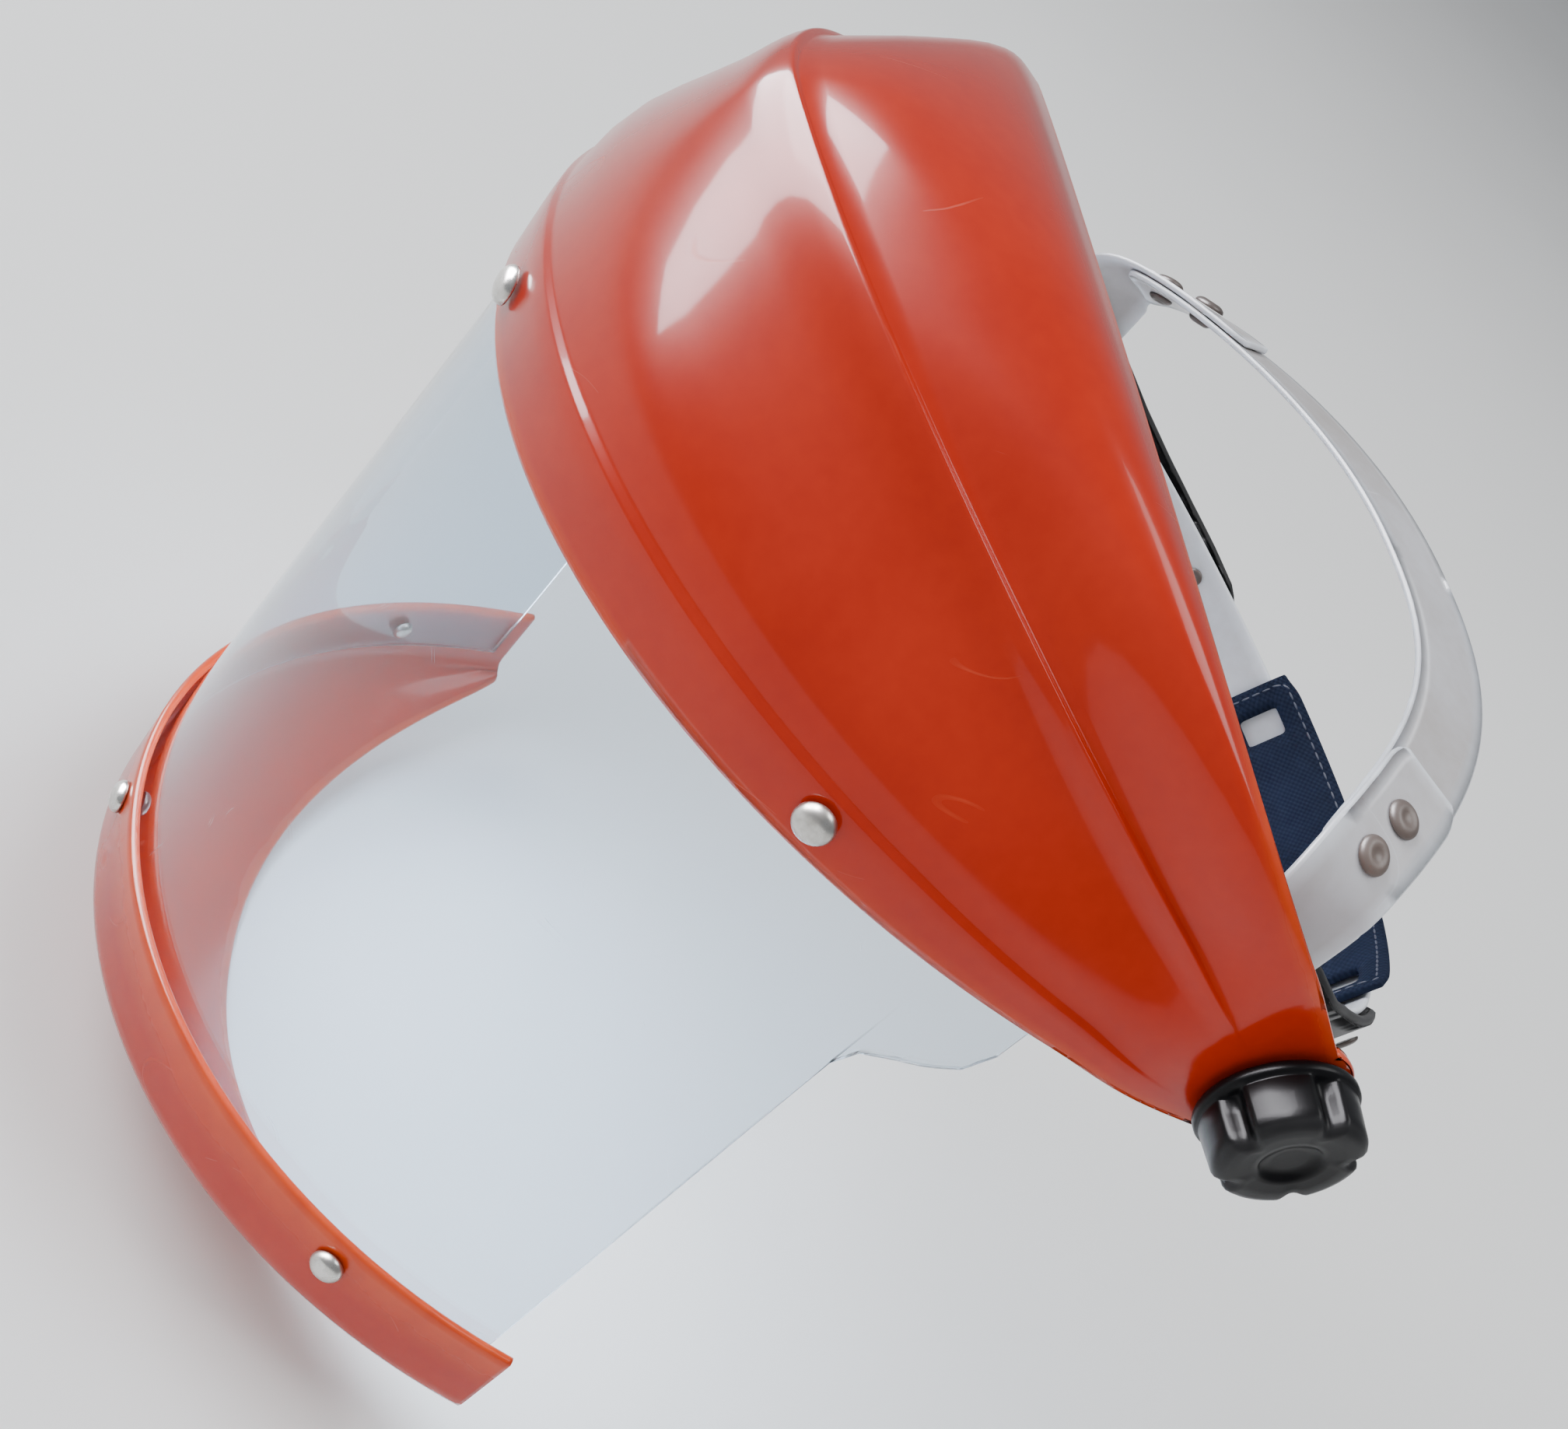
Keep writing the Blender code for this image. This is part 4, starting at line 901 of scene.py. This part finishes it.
fade = place.noise(28.0, 3.0)
(weave * 0.45 + lint * 0.45 + fade * 0.5 - 0.25).clamp().mix(NAVY_DEEP, NAVY_PALE).into(shader, "Base Color")
(0.78 + weave * 0.12).into(shader, "Roughness")
values = {"Strength": 0.9, "Distance": 0.00025, "Height": weave + lint * 0.4}
place.node("ShaderNodeBump", {}, values).into(shader, "Normal")
pad.data.materials.append(cloth)
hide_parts("nape_pad")
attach(pad, "headgear")

# The pad's hem is sewn with one row of thread, in even stitches that run all round it.
STITCH = 0.0030
THREAD_R = 0.00028


def stitched():
    """A node tree that lays one short, fat-bellied stitch at each step along a line."""
    tree = bpy.data.node_groups.new("stitches", "GeometryNodeTree")
    face = tree.interface
    face.new_socket("Geometry", in_out="INPUT", socket_type="NodeSocketGeometry")
    face.new_socket("Stitch Length", in_out="INPUT", socket_type="NodeSocketFloat")
    face.new_socket("Thread Radius", in_out="INPUT", socket_type="NodeSocketFloat")
    face.new_socket("Finish", in_out="INPUT", socket_type="NodeSocketMaterial")
    face.new_socket("Geometry", in_out="OUTPUT", socket_type="NodeSocketGeometry")
    given = tree.nodes.new("NodeGroupInput")
    line, length, radius, finish = [Wire(tree, given.outputs[k]) for k in range(4)]
    path = line.node("GeometryNodeMeshToCurve", {}, {"Mesh": line})
    path = line.node("GeometryNodeResampleCurve", {"mode": "LENGTH"}, {"Curve": path, "Length": length})
    bead = {"Segments": 8, "Rings": 6, "Radius": radius}
    bead = line.node("GeometryNodeMeshUVSphere", {}, bead)
    long = length / radius * 0.40
    size = line.node("ShaderNodeCombineXYZ", {}, {0: 1.0, 1: 1.0, 2: long})
    bead = line.node("GeometryNodeTransform", {}, {"Geometry": bead, "Scale": size})
    run = line.node("GeometryNodeInputTangent")
    lie = line.node("FunctionNodeAlignRotationToVector", {"axis": "Z"}, {"Vector": run})
    made = line.node("GeometryNodeInstanceOnPoints", {}, {"Points": path, "Instance": bead, "Rotation": lie})
    made = line.node("GeometryNodeRealizeInstances", {}, {"Geometry": made})
    made = line.node("GeometryNodeSetMaterial", {}, {"Geometry": made, "Material": finish})
    made.into(tree.nodes.new("NodeGroupOutput"), 0)
    return tree


thread, shader, place = new_look("navy_thread", 0.65)
place.noise(900.0, 2.0).mix(NAVY_PALE, THREAD).into(shader, "Base Color")
path = []
for u, v in [(-0.955, -0.84), (0.955, -0.84), (0.955, 0.84), (-0.955, 0.84), (-0.955, -0.84)]:
    if path:
        first = path[-1]
        steps = 60 if first[1] == v else 14
        path += [(first[0] + (u - first[0]) * k / steps, first[1] + (v - first[1]) * k / steps) for k in range(1, steps + 1)]
    else:
        path.append((u, v))
seam = bpy.data.meshes.new("seam")
points = [pad_point(u, v, layer, -0.00015) for layer in (0, 1) for u, v in path]
links = [(k, k + 1) for k in range(len(path) - 1)]
links += [(a + len(path), b + len(path)) for a, b in links]
seam.from_pydata([tuple(p) for p in points], links, [])


def grown_on(name, mesh, tree, values):
    """Runs a node tree on a mesh and returns the result as a plain mesh."""
    seed = bpy.data.objects.new(name + "_seed", mesh)
    bpy.context.scene.collection.objects.link(seed)
    modifier = seed.modifiers.new("made", "NODES")
    modifier.node_group = tree
    for item in tree.interface.items_tree:
        if item.in_out == "INPUT" and item.name in values:
            modifier[item.identifier] = values[item.name]
    graph = bpy.context.evaluated_depsgraph_get()
    result = bpy.data.meshes.new_from_object(seed.evaluated_get(graph))
    result.name = name
    bpy.data.objects.remove(seed)
    result.shade_smooth()
    piece = bpy.data.objects.new(name, result)
    bpy.context.scene.collection.objects.link(piece)
    return piece


values = {"Stitch Length": STITCH, "Thread Radius": THREAD_R, "Finish": thread}
hem = grown_on("nape_stitches", seam, stitched(), values)
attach(hem, "headgear")

# ---------------------------------------------------------------- top strap
# The top strap is a long strip of translucent white polyethylene that arches over the head.
# It is snapped at each end to a broader plate that swings on the pivot bolt.
PLATE_IN = 0.0986
PLATE_T = 0.0015
STRAP_W = 0.0200
STRAP_TOP_Y = 0.0480
STRAP_TOP_Z = 0.0440
STRAP_FOOT_Z = 0.0180
STRAP_STUDS = (0.45, 0.64)
SHANK_R = 0.0030
STRAP_DEEP = (0.37, 0.340, 0.325, 1.0)
STRAP_PALE = (0.51, 0.51, 0.54, 1.0)
# The next colour, a bluish white, paints scratches and rims paler: partly rubbing wear, partly a painted reflection of
# bluish light.
STRAP_RUB_AND_HIGHLIGHT = (0.78, 0.83, 0.90, 1.0)


def strap_frame(t, drop=0.0):
    """Middle line of the top strap: place, run and width directions."""
    a = PLATE_IN + PLATE_T / 2
    power = 2 / 2.3

    def place(value):
        c, s = math.cos(value), max(math.sin(value), 0.0)
        x = math.copysign(a * abs(c) ** power, c)
        z = STRAP_FOOT_Z + (STRAP_TOP_Z - STRAP_FOOT_Z) * s**power
        return np.array([x, STRAP_TOP_Y * s**2.4, z])

    if drop > 0:
        return np.array([a, 0, STRAP_FOOT_Z - drop]), np.array([0, 0, 1.0]), np.array([0, 1.0, 0])
    run = unit(place(t + 0.002) - place(max(t - 0.002, 0.0)))
    lean = unit(np.array([0.0, 1.0, -0.02 * math.sin(t)]))
    return place(t), run, unit(lean - run * np.dot(lean, run))


def strap_grid(stations, offset):
    grid = []
    for t, drop, half in stations:
        p, run, wide = strap_frame(t, drop)
        out = np.cross(wide, run)
        grid.append([p + out * offset + wide * half * v for v in (-1, -0.93, -0.6, -0.2, 0.2, 0.6, 0.93, 1)])
    return np.array(grid)


plate_drop = [(0.0308, 0.0040), (0.0304, 0.0056), (0.0290, 0.0082), (0.0270, 0.0102), (0.0250, 0.0114), (0.0220, 0.0125), (0.0190, 0.0130), (0.0145, 0.0132), (0.0100, 0.0132), (0.0060, 0.0131), (0.0020, 0.0130)]
plate_turn = [(0.04, 0.0128), (0.08, 0.0126), (0.12, 0.0123), (0.16, 0.0121), (0.21, 0.0118), (0.26, 0.0115), (0.31, 0.0112), (0.36, 0.0110), (0.41, 0.0108), (0.46, 0.0106), (0.51, 0.0104), (0.56, 0.0103), (0.61, 0.0102), (0.66, 0.0101), (0.71, 0.01005), (0.76, 0.0100), (0.79, 0.0097), (0.82, 0.0090), (0.838, 0.0080), (0.848, 0.0066)]
stations = [(0, drop, half) for drop, half in plate_drop] + [(t, 0, half) for t, half in plate_turn]
strap = moulded(
    "translucent_white", STRAP_DEEP, STRAP_PALE, STRAP_RUB_AND_HIGHLIGHT, 0.36, 0.00005, coat=0.2, rim_strength=0.8, grain=210.0
)
for side, word in ((1, "left"), (-1, "right")):
    turn = np.array([side, 1.0, 1.0])
    plate = closed_sheet(
        "strap_plate_" + word,
        strap_grid(stations, PLATE_T / 2) * turn,
        strap_grid(stations, -PLATE_T / 2) * turn,
    )
    plate.data.materials.append(strap)
    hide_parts("side_strap_" + word)
    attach(plate, "top_strap")
ends = [(0.30, 0.0065), (0.308, 0.0079), (0.32, 0.0088), (0.335, 0.0094), (0.36, 0.0099)]
stations = [(t, 0, half) for t, half in ends]
stations += [(t, 0, STRAP_W / 2) for t in np.linspace(0.40, math.pi - 0.40, 97)]
stations += [(math.pi - t, 0, half) for t, half in reversed(ends)]
under = -(PLATE_T + GAP)
arch = closed_sheet(
    "strap_arch", strap_grid(stations, under + PLATE_T / 2), strap_grid(stations, under - PLATE_T / 2)
)
arch.data.materials.append(strap)
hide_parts("upper_strap")
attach(arch, "top_strap")

# ---------------------------------------------------------------- press studs
# Dark press studs with a dished middle hold the straps: two through each end of the top
# strap, and one through each end of the nape band and of the brow band.
STUD_DEEP = (0.030, 0.024, 0.022, 1.0)
STUD_PALE = (0.15, 0.115, 0.10, 1.0)
STUD_WORN = (0.30, 0.27, 0.25, 1.0)
stud_look = moulded("stud_plastic", STUD_DEEP, STUD_PALE, STUD_WORN, 0.38, 0.00005, grain=800.0)
spots, aims, sizes, names = [], [], [], []
for side, word in ((1, "left"), (-1, "right")):
    turn = np.array([side, 1.0, 1.0])
    for t, where in zip(STRAP_STUDS, ("lower", "upper")):
        p, run, wide = strap_frame(t)
        out = np.cross(wide, run) * turn
        spots += [p * turn + out * (PLATE_T / 2 + 0.0004), p * turn - out * (PLATE_T * 1.5 + GAP + 0.0002)]
        aims += [out, -out]
        sizes += [1.0, 0.78]
        names.append(f"strap_stud_{where}_{word}")
attributes = [("aim", "FLOAT_VECTOR", aims), ("size", "FLOAT", sizes)]
values = {"Head Radius": 0.0040, "Head Height": 0.0015, "Dimple Depth": 0.0010, "Finish": stud_look}
studs = grown("strap_stud_heads", spots, attributes, head_tree, values)
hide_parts(*names)
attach(studs, "top_strap")
spots, aims, sizes, names = [], [], [], []
for side, word in ((1, "left"), (-1, "right")):
    for y, where, more in ((-0.040, "front", 0.0009), (0.072, "rear", 0.0006)):
        slope = (ring_half(y + 0.001) - ring_half(y - 0.001)) / 0.002
        flat_aim = unit(np.array([side, -slope]))
        aim = ring_point(flat_aim[0], flat_aim[1])
        p = ring_point(side * ring_half(y), y)
        out = BAND_T / 2 + ARM_T + GAP * 3 + more
        spots += [p + aim * (out + 0.0001), p - aim * (BAND_T / 2 + GAP)]
        aims += [aim, -aim]
        sizes += [0.9, 0.66]
        names.append(f"arm_stud_{where}_{word}")
attributes = [("aim", "FLOAT_VECTOR", aims), ("size", "FLOAT", sizes)]
values = {"Head Radius": 0.0040, "Head Height": 0.0013, "Dimple Depth": 0.0008, "Finish": stud_look}
studs = grown("arm_stud_heads", spots, attributes, head_tree, values)
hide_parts(*names)
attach(studs, "headgear")

# ---------------------------------------------------------------- floor and lights
# A plain pale floor stands under the chin guard, lit by large soft lamps.
floor_z = float(cad_box[0][2]) - 0.0005
mesh = bpy.data.meshes.new("pale_floor")
mesh.from_pydata([(-8, -8, floor_z), (8, -8, floor_z), (8, 8, floor_z), (-8, 8, floor_z)], [], [(0, 1, 2, 3)])
ground = bpy.data.objects.new("pale_floor", mesh)
bpy.context.scene.collection.objects.link(ground)
matte, shader, place = new_look("floor_paint", 0.8)
shader.inputs["Specular IOR Level"].default_value = 0.0
(place.noise(3.0, 4.0)).mix((0.80, 0.80, 0.79, 1.0), (0.86, 0.86, 0.85, 1.0)).into(shader, "Base Color")
ground.data.materials.append(matte)

for name, place, target, size, power, tint, lights_matter in (
    ("window", (-0.85, -1.25, 1.25), (0.0, -0.06, 0.02), (1.25, 1.0), 46.0, (0.93, 0.96, 1.0), True),
    ("pane", (-0.656, -1.013, 0.79), (0.01, -0.13, 0.05), (1.45, 1.50), 250.0, (0.97, 0.95, 1.0), False),
    ("overhead", (0.2, 0.9, 1.9), (0.0, -0.05, 0.0), (1.4, 1.0), 26.0, (1.0, 1.0, 1.0), True),
    ("side", (1.6, -1.1, 1.2), (0.0, -0.05, 0.0), (2.8, 2.8), 30.0, (1.0, 0.98, 0.95), True),
):
    lamp = bpy.data.objects.new(name, bpy.data.lights.new(name, "AREA"))
    bpy.context.scene.collection.objects.link(lamp)
    lamp.data.shape = "RECTANGLE"
    lamp.data.size, lamp.data.size_y = size
    lamp.data.energy = power
    lamp.data.color = tint
    lamp.location = place
    reach = (np.array(target) - np.array(place)).tolist()
    lamp.rotation_euler = Vector(reach).to_track_quat("-Z", "Y").to_euler()
    lamp.visible_diffuse = lights_matter
    lamp.visible_glossy = name != "side"
world = bpy.data.worlds.new("studio")
world.use_nodes = True
world.node_tree.nodes["Background"].inputs["Color"].default_value = (0.92, 0.95, 1.0, 1.0)
world.node_tree.nodes["Background"].inputs["Strength"].default_value = 0.36
bpy.context.scene.world = world
